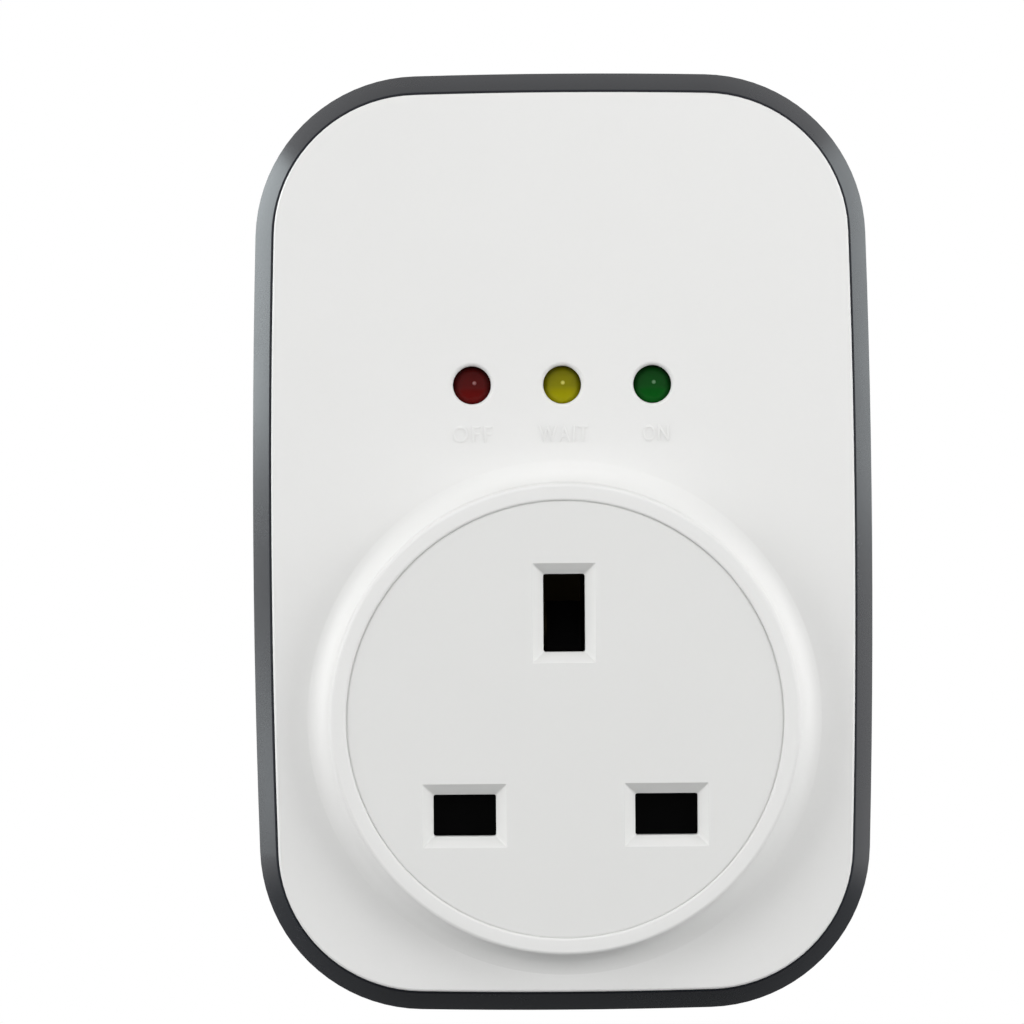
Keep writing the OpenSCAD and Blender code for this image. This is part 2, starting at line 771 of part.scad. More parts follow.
module neutral_contact() {
    color(brass) stand_up() translate(neutral_at)
        contact(line_pin_w, line_pocket_w, line_pocket_z - mouth_gap, line_web_z, line_tower_z - tail_out);
}

module earth_contact() {
    color(brass) stand_up() translate(earth_at) rotate(90)
        contact(earth_pin_w, earth_pocket_w, earth_pocket_z - mouth_gap, earth_web_z,
            earth_tower_z - earth_tail_out);
}

// Plug

// Pin drawn with its thickness along y: blade behind the wall's face, collar and tang in the case
module pin(w, len, core_w, core_t, core_len) {
    difference() {
        union() {
            slab([0, 0], [w, pin_t], -len, -core_len);
            slab([0, 0], [core_w, core_t], -core_len - fit, base_wall);
            slab([0, 0], [w + 2 * collar_out, pin_t + 2 * collar_out], base_wall, collar_z);
            slab([0, 0], [tang_w, tang_t], collar_z - fit, tang_top_z);
        }
        for (turn = [0, 180]) rotate(turn) {
            across(w + over) polygon([[pin_t / 2, -len + pin_tip], [pin_t / 2, -len - over],
                [pin_t / 2 - pin_tip - over, -len - over]]);
            rotate([90, 0, 0]) linear_extrude(pin_t + over, center = true)
                polygon([[w / 2, -len + pin_tip], [w / 2, -len - over], [w / 2 - pin_tip - over, -len - over]]);
        }
    }
}

module line_pin() {
    pin(line_pin_w, line_pin_len, line_pin_w - 2 * sleeve_wall, pin_t - 2 * sleeve_wall, sleeve_len);
}

module live_pin() {
    color(brass) stand_up() translate(live_at) line_pin();
}

module neutral_pin() {
    color(brass) stand_up() translate(neutral_at) line_pin();
}

module earth_pin() {
    color(brass) stand_up() translate(earth_at) rotate(90)
        pin(earth_pin_w, earth_pin_len, earth_pin_w, pin_t, 0);
}

module sleeve() {
    core = [line_pin_w, pin_t] - [2, 2] * (sleeve_wall - fit);
    difference() {
        slab([0, 0], [line_pin_w, pin_t], -sleeve_len + fit, base_wall - fit);
        slab([0, 0], core, -sleeve_len - over, base_wall + over);
    }
}

module live_sleeve() {
    color(ink_black) stand_up() translate(live_at) sleeve();
}

module neutral_sleeve() {
    color(ink_black) stand_up() translate(neutral_at) sleeve();
}

module pin_clamp() {
    tang_hole = [tang_w, tang_t] + [2, 2] * slip;
    color(ink_black) stand_up() difference() {
        union() {
            slab([0, line_y], 2 * clamp_low, collar_z + fit, clamp_z);
            translate([-clamp_high.x, line_y, collar_z + fit])
                cube([2 * clamp_high.x, earth_y + clamp_high.y - line_y, clamp_t - fit]);
        }
        for (at = [live_at, neutral_at]) slab(at, tang_hole, collar_z - over, clamp_z + over);
        slab(earth_at, [tang_hole.y, tang_hole.x], collar_z - over, clamp_z + over);
        for (at = clamp_screw_at) post(at, small_screw_r + slip, collar_z - over, clamp_z + over);
    }
}

module clamp_screws() {
    color(steel) stand_up() for (at = clamp_screw_at) translate([at.x, at.y, clamp_z])
        mirror([0, 0, 1]) screw(small_screw_r, clamp_t + collar_t - fit, small_head_r, small_head_h);
}

// Strap from a pin's tang to the tail of the contact in front of it
module link(top_z) {
    translate([-link_w / 2, tang_t / 2, clamp_z + seat]) cube([link_w, link_t, top_z - clamp_z - seat]);
}

module neutral_link() {
    color(brass) stand_up() translate(neutral_at) link(line_tower_z - seat);
}

module earth_link() {
    color(brass) stand_up() translate(earth_at) rotate(90) link(earth_tower_z - seat);
}

// Board

// Plan places where legs pass through the board
function leg_places() = concat(
    [for (at = lamp_at, s = [-1, 1]) at + [s * lamp_leg_gap / 2, 0]],
    [for (s = [-1, 1]) relay_at + [coil_pin_x, s * coil_pin_y]],
    [relay_at + [terminal_x, 0], relay_at + [yoke_x, 0]],
    [for (s = [-1, 1]) film_at + [0, s * film_leg]],
    [for (s = [-1, 1]) can_at + [s * can_leg, 0]],
    [for (s = [-1, 1]) disc_at + [s * disc_leg, 0]]);

module circuit_board() {
    hole_r = terminal_r + leg_hole_r - leg_r;
    color([0.10, 0.36, 0.20]) stand_up() difference() {
        translate([0, 0, board_back_z]) linear_extrude(board_t) polygon([
            [-board_half_w, board_low], [board_half_w, board_low], [board_half_w, board_shoulder],
            [board_top_half_w, board_top], [-board_top_half_w, board_top], [-board_half_w, board_shoulder]]);
        for (at = leg_places()) post(at, hole_r, board_back_z - over, board_front_z + over);
        for (at = board_screw_at) post(at, small_screw_r + slip, board_back_z - over, board_front_z + over);
    }
}

module board_screws() {
    color(steel) stand_up() for (at = board_screw_at) translate([at.x, at.y, board_back_z])
        screw(small_screw_r, board_screw_len, small_head_r, small_head_h);
}

module lamp(k, tint) {
    dome_z = board_front_z + lamp_height - lamp_r;
    color(tint) stand_up() union() {
        post(lamp_at[k], lamp_flange_r, board_front_z, board_front_z + lamp_flange_h);
        post(lamp_at[k], lamp_r, board_front_z, dome_z);
        translate([lamp_at[k].x, lamp_at[k].y, dome_z]) sphere(r = lamp_r);
    }
}

module red_lamp() { lamp(0, [0.40, 0.05, 0.07]); }
module yellow_lamp() { lamp(1, [0.55, 0.52, 0.03]); }
module green_lamp() { lamp(2, [0.03, 0.35, 0.12]); }

module lamp_legs() {
    color(steel) stand_up() for (at = lamp_at, s = [-1, 1])
        slab(at + [s * lamp_leg_gap / 2, 0], [lamp_leg_w, lamp_leg_w], board_back_z - leg_out, board_front_z);
}

// Two legs that run from a part through the board
module legs(at, offset, z0) {
    for (s = [-1, 1]) post(at + s * offset, leg_r, z0, board_front_z + leg_out);
}

// Relay

module relay_base() {
    inner = [relay_w, relay_h] - [2, 2] * (relay_wall + grip);
    color(ink_black) stand_up() difference() {
        slab(relay_at, inner, relay_base_z, board_back_z);
        for (s = [-1, 1])
            post(relay_at + [coil_pin_x, s * coil_pin_y], terminal_r + fit, relay_base_z - over, board_back_z + over);
        post(relay_at + [yoke_x, 0], terminal_r + fit, relay_base_z - over, board_back_z + over);
        slab(relay_at + [terminal_x, 0], [terminal_t, 2 * contact_r] + [2, 2] * fit,
            relay_base_z - over, board_back_z + over);
    }
}

module relay_cover() {
    inner = [relay_w, relay_h] - [2, 2] * relay_wall;
    color([0.12, 0.14, 0.18]) stand_up() difference() {
        slab(relay_at, [relay_w, relay_h], relay_back_z, board_back_z - relay_lift);
        slab(relay_at, inner, relay_back_z + relay_wall, board_back_z + over);
    }
}

module relay_coil() {
    top_z = relay_base_z - iron_t;
    low_z = armature_z + pole_gap + seat;
    color(copper) stand_up() translate(relay_at + [core_x, 0]) difference() {
        union() {
            post([0, 0], coil_r, low_z, top_z);
            post([0, 0], coil_flange_r, low_z, low_z + coil_flange_t);
            post([0, 0], coil_flange_r, top_z - coil_flange_t, top_z);
        }
        post([0, 0], core_r + fit, low_z - over, top_z + over);
    }
}

module relay_yoke() {
    plate_end = core_x + coil_r;
    left = yoke_x - iron_t / 2;
    color(steel) stand_up() translate(relay_at) {
        translate([left, -iron_half_w, relay_base_z - iron_t]) cube([plate_end - left, 2 * iron_half_w, iron_t]);
        translate([left, -iron_half_w, armature_z + hinge_gap])
            cube([iron_t, 2 * iron_half_w, relay_base_z - armature_z - hinge_gap]);
        post([core_x, 0], core_r, armature_z + pole_gap, relay_base_z - iron_t / 2);
    }
}

module relay_armature() {
    left = yoke_x - armature_tail;
    color(steel) stand_up() translate(relay_at) translate([left, -iron_half_w, armature_z - armature_t])
        cube([armature_end - left, 2 * iron_half_w, armature_t]);
}

module moving_contact() {
    blade_start = core_x + coil_flange_r + seat;
    color(copper) stand_up() translate(relay_at) {
        translate([blade_start, -contact_r, armature_z]) cube([blade_end - blade_start, 2 * contact_r, blade_t]);
        post([contact_x, 0], contact_r, armature_z + blade_t / 2, armature_z + blade_t + contact_h);
    }
}

module relay_terminals() {
    fixed_z = armature_z + blade_t + contact_h + contact_gap;
    strip_z = fixed_z + contact_h;
    pin_z = relay_base_z + relay_base_t / 2;
    color(brass) stand_up() translate(relay_at) {
        post([contact_x, 0], contact_r, fixed_z, strip_z + terminal_t / 2);
        translate([contact_x - contact_r, -contact_r, strip_z])
            cube([terminal_x + terminal_t / 2 - contact_x + contact_r, 2 * contact_r, terminal_t]);
        translate([terminal_x - terminal_t / 2, -contact_r, strip_z])
            cube([terminal_t, 2 * contact_r, board_back_z - strip_z - fit]);
        post([terminal_x, 0], terminal_t / 2, board_back_z - relay_base_t, board_front_z + leg_out);
        for (s = [-1, 1]) post([coil_pin_x, s * coil_pin_y], terminal_r, relay_base_z - leg_out, board_front_z + leg_out);
        post([yoke_x, 0], terminal_r, relay_base_z, board_front_z + leg_out);
    }
}

// Other parts on the board

module film_capacitor() {
    color([0.70, 0.62, 0.20]) stand_up() union() {
        slab(film_at, film_size, board_back_z - film_size.z, board_back_z);
        legs(film_at, [0, film_leg], board_back_z - leg_r);
    }
}

module smoothing_capacitor() {
    low = -can_h;
    color([0.10, 0.11, 0.16]) stand_up() union() {
        translate([can_at.x, can_at.y, board_back_z]) rotate_extrude() polygon(concat(
            [[0, low], [can_r - can_groove, low], [can_r, low + can_groove]],
            [[can_r, -can_groove_z - can_groove], [can_r - can_groove, -can_groove_z],
             [can_r, can_groove - can_groove_z], [can_r, 0], [0, 0]]));
        legs(can_at, [can_leg, 0], board_back_z - leg_r);
    }
}

module varistor() {
    z = board_back_z - disc_lift - disc_r;
    color([0.12, 0.25, 0.55]) stand_up() union() {
        translate([disc_at.x, disc_at.y + disc_t / 2, z]) rotate([90, 0, 0]) cylinder(r = disc_r, h = disc_t);
        legs(disc_at, [disc_leg, 0], z);
    }
}

module controller_chip() {
    z = board_front_z + chip_lift;
    color(ink_black) stand_up() {
        slab(chip_at, chip_size, z, z + chip_size.z);
        for (k = [0:chip_legs - 1], s = [-1, 1])
            slab(chip_at + [(k - (chip_legs - 1) / 2) * chip_leg_gap, s * (chip_size.y + chip_leg_w) / 2],
                [chip_leg_w, chip_leg_w + 2 * fit], board_front_z, z + chip_size.z / 2);
    }
}

// Part with a lead at each end, lying on the front of the board
module axial(at, r, length, lead) {
    z = board_front_z + resistor_lift + r;
    translate([at.x, at.y, z]) rotate([0, 90, 0]) cylinder(r = r, h = length, center = true);
    translate([at.x, at.y, z]) rotate([0, 90, 0]) cylinder(r = lead_wire_r, h = 2 * lead, center = true);
    for (s = [-1, 1]) post(at + [s * lead, 0], lead_wire_r, board_front_z, z + lead_wire_r + fit);
}

module resistors() {
    color([0.75, 0.62, 0.42]) stand_up() for (at = resistor_at) axial(at, resistor_r, resistor_len, resistor_lead);
}

module diodes() {
    color(ink_black) stand_up() for (at = diode_at) axial(at, diode_r, diode_len, diode_lead);
}

module live_in_wire() {
    color([0.42, 0.22, 0.10]) stand_up()
        tube(route(live_in_start, live_in_pad, live_in_shares), power_wire_r, wire_sides);
}

module live_out_wire() {
    color([0.42, 0.22, 0.10]) stand_up()
        tube(route(live_out_start, live_out_pad, live_out_shares), power_wire_r, wire_sides);
}

module neutral_wire() {
    color([0.12, 0.25, 0.65]) stand_up()
        tube(route(neutral_start, neutral_pad, neutral_shares), signal_wire_r, wire_sides);
}

rear_case();
front_cover();
socket_face();
case_screws();
socket_base();
base_screws();
shutter();
shutter_spring();
live_contact();
neutral_contact();
earth_contact();
live_pin();
neutral_pin();
earth_pin();
live_sleeve();
neutral_sleeve();
pin_clamp();
clamp_screws();
neutral_link();
earth_link();
circuit_board();
board_screws();
red_lamp();
yellow_lamp();
green_lamp();
lamp_legs();
relay_base();
relay_cover();
relay_coil();
relay_yoke();
relay_armature();
moving_contact();
relay_terminals();
film_capacitor();
smoothing_capacitor();
varistor();
controller_chip();
resistors();
diodes();
live_in_wire();
live_out_wire();
neutral_wire();
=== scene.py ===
"""Plug-through voltage protector for a household appliance, dressed over its CAD frame."""

import math

import bmesh
import bpy
from bpy.props import FloatProperty, FloatVectorProperty, IntProperty, PointerProperty
from mathutils import Matrix, Vector


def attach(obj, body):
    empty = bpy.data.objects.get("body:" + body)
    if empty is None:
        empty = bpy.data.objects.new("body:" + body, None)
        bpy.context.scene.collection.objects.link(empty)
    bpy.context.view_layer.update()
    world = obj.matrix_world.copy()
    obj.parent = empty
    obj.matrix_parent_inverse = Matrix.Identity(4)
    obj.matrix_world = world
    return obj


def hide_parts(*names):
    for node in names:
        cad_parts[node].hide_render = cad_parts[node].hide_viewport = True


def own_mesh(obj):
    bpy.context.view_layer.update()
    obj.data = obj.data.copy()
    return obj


bl_info = {
    "name": "Voltage Protector",
    "version": (1, 0, 0),
    "blender": (4, 5, 0),
    "location": "View3D > Sidebar > Protector",
    "description": "Makes the case, cover, socket, lamps, relay and wiring of a voltage protector",
    "category": "Add Mesh",
}

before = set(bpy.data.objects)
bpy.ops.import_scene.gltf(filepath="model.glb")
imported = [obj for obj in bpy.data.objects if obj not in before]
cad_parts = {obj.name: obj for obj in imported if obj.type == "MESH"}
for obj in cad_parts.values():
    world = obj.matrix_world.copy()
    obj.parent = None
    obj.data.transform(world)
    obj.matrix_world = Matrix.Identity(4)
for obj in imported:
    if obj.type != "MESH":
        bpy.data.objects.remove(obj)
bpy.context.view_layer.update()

# Pieces are drawn in plan millimetres: x to the right, y up, z out of the wall.
MM = 0.001
STAND_UP = Matrix(((MM, 0, 0, 0), (0, 0, -MM, 0), (0, MM, 0, 0), (0, 0, 0, 1)))

# Plan places that the pieces share
MIDDLE = (0.0, 18.9)
SOCKET_MIDDLE = (0.0, -0.55)
PLUG_MIDDLE = (0.0, -1.0)
CASE_SCREWS = [(x, y) for x in (-24.657, 24.657) for y in (-23.607, 61.407)]
BASE_SCREWS = [(24.770, 13.751), (-24.770, -14.851)]
BOARD_SCREWS = [(-26.5, 32.5), (26.5, 32.5), (-19.6, 55.7), (19.6, 55.7)]
CLAMP_SCREWS = [(0.0, -11.115), (-9.5, 11.115), (9.5, 11.115)]
LIVE = (11.115, -11.115)
NEUTRAL = (-11.115, -11.115)
EARTH = (0.0, 11.115)
LINE_PIN = (6.35, 4.0)
EARTH_PIN = (4.0, 8.0)
PINS = {"live": (LIVE, LINE_PIN), "neutral": (NEUTRAL, LINE_PIN), "earth": (EARTH, EARTH_PIN)}
LAMPS = {"red": (-10.0, 36.35), "yellow": (0.0, 36.35), "green": (10.0, 36.35)}
RELAY = (0.0, 51.75)

# Plan depths of the faces that the pieces share
CASE_SCREW_SEAT = 14.35
BOARD_BACK = 28.6
BOARD_FRONT = 30.2
COVER_UNDER = 36.8
CASE_RIM = 37.5
COVER_FACE = 39.0
SOCKET_FACE = 43.3


def length(text, value, low=0.0):
    """A length property whose default is given in millimetres."""
    return FloatProperty(name=text, description=text, default=value * MM, min=low, unit="LENGTH", precision=5)


def angle(text, value):
    """An angle property whose default is given in degrees."""
    return FloatProperty(name=text, description=text, default=math.radians(value), subtype="ANGLE")


def number(text, value):
    """A whole number of things."""
    return IntProperty(name=text, description=text, default=value, min=1)


def level(text, value, unit="NONE"):
    """A plain number, such as a lamp's power."""
    return FloatProperty(name=text, description=text, default=value, min=0.0, unit=unit, precision=4)


def paint(text, value):
    """A colour property, in linear values."""
    return FloatVectorProperty(
        name=text, description=text, default=value, size=3, min=0.0, max=1.0, subtype="COLOR")


class CaseSizes(bpy.types.PropertyGroup):
    """Sizes of the dark rear case"""

    width: length("Width of the case", 69.42)
    height: length("Height of the case", 105.0)
    corner: length("Radius of the four corners", 18.38)
    side_bow: length("How far the long sides swell in their middle", 0.5)
    end_bow: length("How far the top and bottom swell in their middle", 0.19)
    side_share: level("Share of an inset that counts at the long sides", 0.945)
    end_share: level("Share of an inset that counts at the top and bottom", 1.047)
    wall: length("Thickness of the side wall", 2.3)
    draft: length("How far the side leans in towards the back", 0.8)
    back_edge: length("Radius of the back edge", 4.0)
    slope_width: length("Width of the sloping rim seen from the front", 2.3)
    slope_depth: length("Depth of the sloping rim", 4.48)
    slope_turn: length("Radius that turns the sloping rim towards the front", 0.35)
    lip: length("How far in the rim's narrow land reaches", 2.45)


class CoverSizes(bpy.types.PropertyGroup):
    """Sizes of the white front cover"""

    gap: length("Gap between the cover and the rim round it", 0.2)
    edge: length("Radius of the cover's front edge", 0.3)
    ring: length("Radius of the raised ring's flat top", 25.5)
    ring_height: length("Height of the raised ring above the face", 4.5)
    ring_edge: length("Radius of the ring's outer edge", 0.5)
    flare_slope: angle("Slope where the flare ends", 62)
    flare: length("Radius of the hollow flare at the ring's foot", 3.15)
    opening: length("Radius of the opening for the socket", 24.09)
    opening_edge: length("Radius of the opening's rounded edge", 0.6)
    lamp_hole: length("Radius of a lamp's hole", 2.1)
    lamp_edge: length("Radius of the rounded edge of a lamp's hole", 0.45)
    letter_height: length("Height of the raised letters under the lamps", 1.85)
    letter_relief: length("How far the raised letters stand proud", 0.06)


class SocketSizes(bpy.types.PropertyGroup):
    """Sizes of the socket's face"""

    radius: length("Radius of the socket's face", 24.075)
    edge: length("Radius of the face's rounded edge", 0.5)
    line_width: length("Width of a line slot", 6.9)
    line_height: length("Height of a line slot", 4.6)
    earth_width: length("Width of the earth slot", 4.6)
    earth_height: length("Height of the earth slot", 8.6)
    bevel: length("Width and depth of the slope round each slot", 1.2)
    round_outer: length("Rounding of the slope's outer edge", 0.08)
    round_inner: length("Rounding of the slope's inner edge", 0.08)
    slot_corner: length("Radius of a slot's corners", 0.25)


class PlugSizes(bpy.types.PropertyGroup):
    """Sizes of the plug on the back"""

    pin_edge: length("Rounding of a pin's long edges", 0.25)
    line_length: length("Length of a line pin", 17.7)
    earth_length: length("Length of the earth pin", 22.73)
    sleeve: length("Length of a line pin's sleeve", 9.3)
    tip: length("Length of a pin's tapered tip", 0.9)


class FastenerSizes(bpy.types.PropertyGroup):
    """Sizes of the screws and of the coil spring"""

    pitch: length("Pitch of a screw's thread", 1.1)
    spring_coil: length("Radius of the shutter spring", 1.45)
    spring_wire: length("Radius of the shutter spring's wire", 0.2)
    spring_turns: number("Free turns of the spring", 9)
    winding_wire: length("Radius of the coil's wire", 0.16)
    winding_turns: number("Turns seen on the coil", 23)


class Colours(bpy.types.PropertyGroup):
    """Colours of the plastics, metals and lamps"""

    case: paint("Rear case", (0.019, 0.0205, 0.025))
    cover: paint("Front cover", (0.80, 0.80, 0.79))
    socket: paint("Socket face", (0.755, 0.757, 0.745))
    black: paint("Black plastic of the sleeves and the clamp", (0.013, 0.013, 0.0135))
    shutter: paint("Black plastic behind the slots", (0.0018, 0.0018, 0.0019))
    red: paint("Red lamp", (0.068, 0.0035, 0.003))
    yellow: paint("Yellow lamp", (0.19, 0.176, 0.002))
    green: paint("Green lamp", (0.002, 0.052, 0.005))
    brass: paint("Pins and contacts", (0.72, 0.56, 0.28))
    steel: paint("Screws and springs", (0.56, 0.57, 0.59))
    copper: paint("Copper", (0.72, 0.33, 0.16))
    board: paint("Circuit board", (0.012, 0.105, 0.032))
    brown: paint("Live wires", (0.13, 0.045, 0.016))
    blue: paint("Neutral wire", (0.012, 0.055, 0.30))


class StageSettings(bpy.types.PropertyGroup):
    """The floor, the lamps and the camera"""

    distance: length("Distance from the wall to the camera", 543.5)
    across: length("Camera's place across", -5.66, -1.0)
    up: length("Camera's height", 22.27, -1.0)
    focal: level("Focal length for a 36 mm sensor", 160.015)
    lean: angle("Lean of the camera", 0.437)
    floor: length("How far the floor lies below the plug's middle", 100.0)
    floor_tint: paint("Floor", (0.62, 0.62, 0.62))
    floor_bounce: level("Floor's colour where it lights the object", 0.25)
    key: level("Power of the small lamp in front", 0.36, "POWER")
    low: level("Power of the low soft box in front", 0.24, "POWER")
    top: level("Power of the soft box above in front", 1.12, "POWER")
    left_box: level("Power of the left soft box", 3.9, "POWER")
    right_box: level("Power of the right soft box", 3.7, "POWER")
    left: level("Power of the lamp behind on the left", 0.54, "POWER")
    left_foot: level("Power of the low lamp behind on the left", 0.04, "POWER")
    right: level("Power of the lamp behind on the right", 0.25, "POWER")
    ambient: level("Light from all round", 0.35)


class Millimetres:
    """Reads a property group's lengths in millimetres."""

    def __init__(self, group):
        self.group = group

    def __getattr__(self, name):
        return getattr(self.group, name) / MM


# Drawing in plan


def bend(x, y, radius, start, end, steps=8):
    """Points of an arc, angles in degrees."""
    turns = [math.radians(start + (end - start) * k / steps) for k in range(steps + 1)]
    return [(x + radius * math.cos(a), y + radius * math.sin(a)) for a in turns]


def circle(centre, radius, z, steps):
    """A ring of points at one depth."""
    last = 360 * (steps - 1) / steps
    return [(x, y, z) for x, y in bend(centre[0], centre[1], radius, 0, last, steps - 1)]


def rounded(centre, width, height, radius, z, steps=4):
    """A rounded rectangle at one depth."""
    points = []
    for sx, sy, start in ((1, 1, 0), (-1, 1, 90), (-1, -1, 180), (1, -1, 270)):
        x = centre[0] + sx * (width / 2 - radius)
        y = centre[1] + sy * (height / 2 - radius)
        points += [(px, py, z) for px, py in bend(x, y, radius, start, start + 90, steps)]
    return points


class Outline:
    """A rounded rectangle whose four sides swell slightly, as one run of eight arcs."""

    def __init__(self, centre, width, height, corner, side_bow, end_bow, steps=(6, 20, 4), shares=(1.0, 1.0)):
        self.shares = shares
        side = ((height / 2 - corner) ** 2 + side_bow**2) / (2 * side_bow)
        end = ((width / 2 - corner) ** 2 + end_bow**2) / (2 * end_bow)
        cx = width / 2 - side
        cy = height / 2 - end
        d1 = side - corner
        d2 = end - corner
        apart = math.hypot(cx, cy)
        along = (d1 * d1 - d2 * d2 + apart * apart) / (2 * apart)
        off = math.sqrt(d1 * d1 - along * along)
        ux, uy = -cx / apart, cy / apart
        meets = [(cx + along * ux + s * off * uy, along * uy - s * off * ux) for s in (-1, 1)]
        x, y = max(meets, key=min)
        first = math.atan2(y, x - cx)
        last = math.atan2(y - cy, x)
        quarter = [((cx, 0.0), side, first * k / steps[0]) for k in range(steps[0])]
        quarter += [((x, y), corner, first + (last - first) * k / steps[1]) for k in range(steps[1])]
        quarter += [((0.0, cy), end, last + (math.pi / 2 - last) * k / steps[2]) for k in range(steps[2])]
        top = [((0.0, cy), end, math.pi / 2)]
        mirrored = (quarter[1:] + top)[::-1]
        self.centre = centre
        self.points = []
        for sx, sy, run in ((1, 1, quarter), (-1, 1, mirrored), (-1, -1, quarter), (1, -1, mirrored)):
            for (ox, oy), radius, turn in run:
                nx, ny = math.cos(turn), math.sin(turn)
                self.points.append((sx * (ox + radius * nx), sy * (oy + radius * ny), sx * nx, sy * ny))

    def ring(self, inset, z):
        """The outline moved in by inset, at one depth."""
        across, up = inset * self.shares[0], inset * self.shares[1]
        return [(self.centre[0] + x - across * nx, self.centre[1] + y - up * ny, z)
                for x, y, nx, ny in self.points]

    @classmethod
    def of_case(cls, size):
        """The case's outline, which the cover's edge runs along."""
        return cls(MIDDLE, size.width, size.height, size.corner, size.side_bow, size.end_bow,
                   shares=(size.group.side_share, size.group.end_share))

    def rings(self, profile):
        """One ring for each inset and depth of a profile."""
        return [self.ring(inset, z) for inset, z in profile]


# Solids


def tidy(mesh):
    """Closes the seams of a mesh and points its faces outwards."""
    form = bmesh.new()
    form.from_mesh(mesh)
    bmesh.ops.remove_doubles(form, verts=form.verts, dist=0.0002)
    bmesh.ops.dissolve_degenerate(form, edges=form.edges, dist=0.0001)
    bmesh.ops.recalc_face_normals(form, faces=form.faces)
    form.to_mesh(mesh)
    form.free()


def solid(name, points, faces):
    """A closed solid in plan millimetres."""
    mesh = bpy.data.meshes.new(name)
    mesh.from_pydata(points, [], faces)
    tidy(mesh)
    piece = bpy.data.objects.new(name, mesh)
    bpy.context.scene.collection.objects.link(piece)
    return piece


def loft(name, rings, closed=False):
    """A skin over rings that all have the same number of points."""
    count = len(rings[0])
    points = [p for ring in rings for p in ring]
    pairs = [(i, i + 1) for i in range(len(rings) - 1)]
    if closed:
        pairs.append((len(rings) - 1, 0))
    faces = []
    for a, b in pairs:
        for k in range(count):
            m = (k + 1) % count
            faces.append((a * count + k, a * count + m, b * count + m, b * count + k))
    if not closed:
        faces.append(tuple(reversed(range(count))))
        faces.append(tuple(range(len(points) - count, len(points))))
    return solid(name, points, faces)


def turned(name, centre, profile, steps=96, closed=False):
    """A solid turned about an axis that stands out of the wall."""
    return loft(name, [circle(centre, radius, z, steps) for radius, z in profile], closed)


def columns(name, places, profile, steps):
    """The same turned solid at several places."""
    return [turned(name, at, profile, steps) for at in places]


def drop(piece):
    """Removes an object and its mesh."""
    data = piece.data
    bpy.data.objects.remove(piece)
    if isinstance(data, bpy.types.Mesh):
        bpy.data.meshes.remove(data)


def freeze(piece):
    """Turns what an object's modifiers make into its own plain mesh."""
    graph = bpy.context.evaluated_depsgraph_get()
    mesh = bpy.data.meshes.new_from_object(piece.evaluated_get(graph))
    old = piece.data
    piece.modifiers.clear()
    piece.data = mesh
    bpy.data.meshes.remove(old)
    mesh.name = piece.name
    return piece


def joined(piece, operation, others):
    """Adds solids to a piece or cuts them out of it."""
    for other in others:
        change = piece.modifiers.new("change", "BOOLEAN")
        change.operation = operation
        change.solver = "EXACT"
        change.object = other
    freeze(piece)
    for other in others:
        drop(other)
    return piece


def hand_over(piece, finish, slot, *nodes, crease=32.0):
    """Stands a piece up in the frame, smooths it by angle, and gives it its body and finish."""
    piece.data.transform(STAND_UP)
    piece.data.shade_smooth()
    piece.data.set_sharp_from_angle(angle=math.radians(crease))
    piece.modifiers.new("even", "WEIGHTED_NORMAL").keep_sharp = True
    freeze(piece)
    if finish:
        piece.data.materials.clear()
        piece.data.materials.append(FINISHES[finish])
    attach(piece, "casing")
    if nodes:
        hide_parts(*nodes)


# Geometry Nodes


class Nodes:
    """Adds nodes to one tree, whether of shapes, of a finish or of the world."""

    def __init__(self, tree):
        self.tree = tree

    def node(self, kind, inputs=None, output=0, **settings):
        """Adds a node, links or sets its inputs, and returns one of its outputs."""
        made = self.tree.nodes.new(kind)
        for key, value in settings.items():
            setattr(made, key, value)
        for key, value in (inputs or {}).items():
            for part in value if isinstance(value, list) else [value]:
                if isinstance(part, bpy.types.NodeSocket):
                    self.tree.links.new(part, made.inputs[key])
                else:
                    made.inputs[key].default_value = part
        return None if output is None else made.outputs[output]

    def maths(self, operation, a, b=0.0, limit=False):
        """Adds one step of arithmetic."""
        return self.node("ShaderNodeMath", {0: a, 1: b}, operation=operation, use_clamp=limit)

    def rays(self, *kinds):
        """1 for the kinds of ray named, and 0 for the others."""
        path = self.node("ShaderNodeLightPath").node
        total = path.outputs[kinds[0]]
        for kind in kinds[1:]:
            total = self.maths("ADD", total, path.outputs[kind], limit=True)
        return total


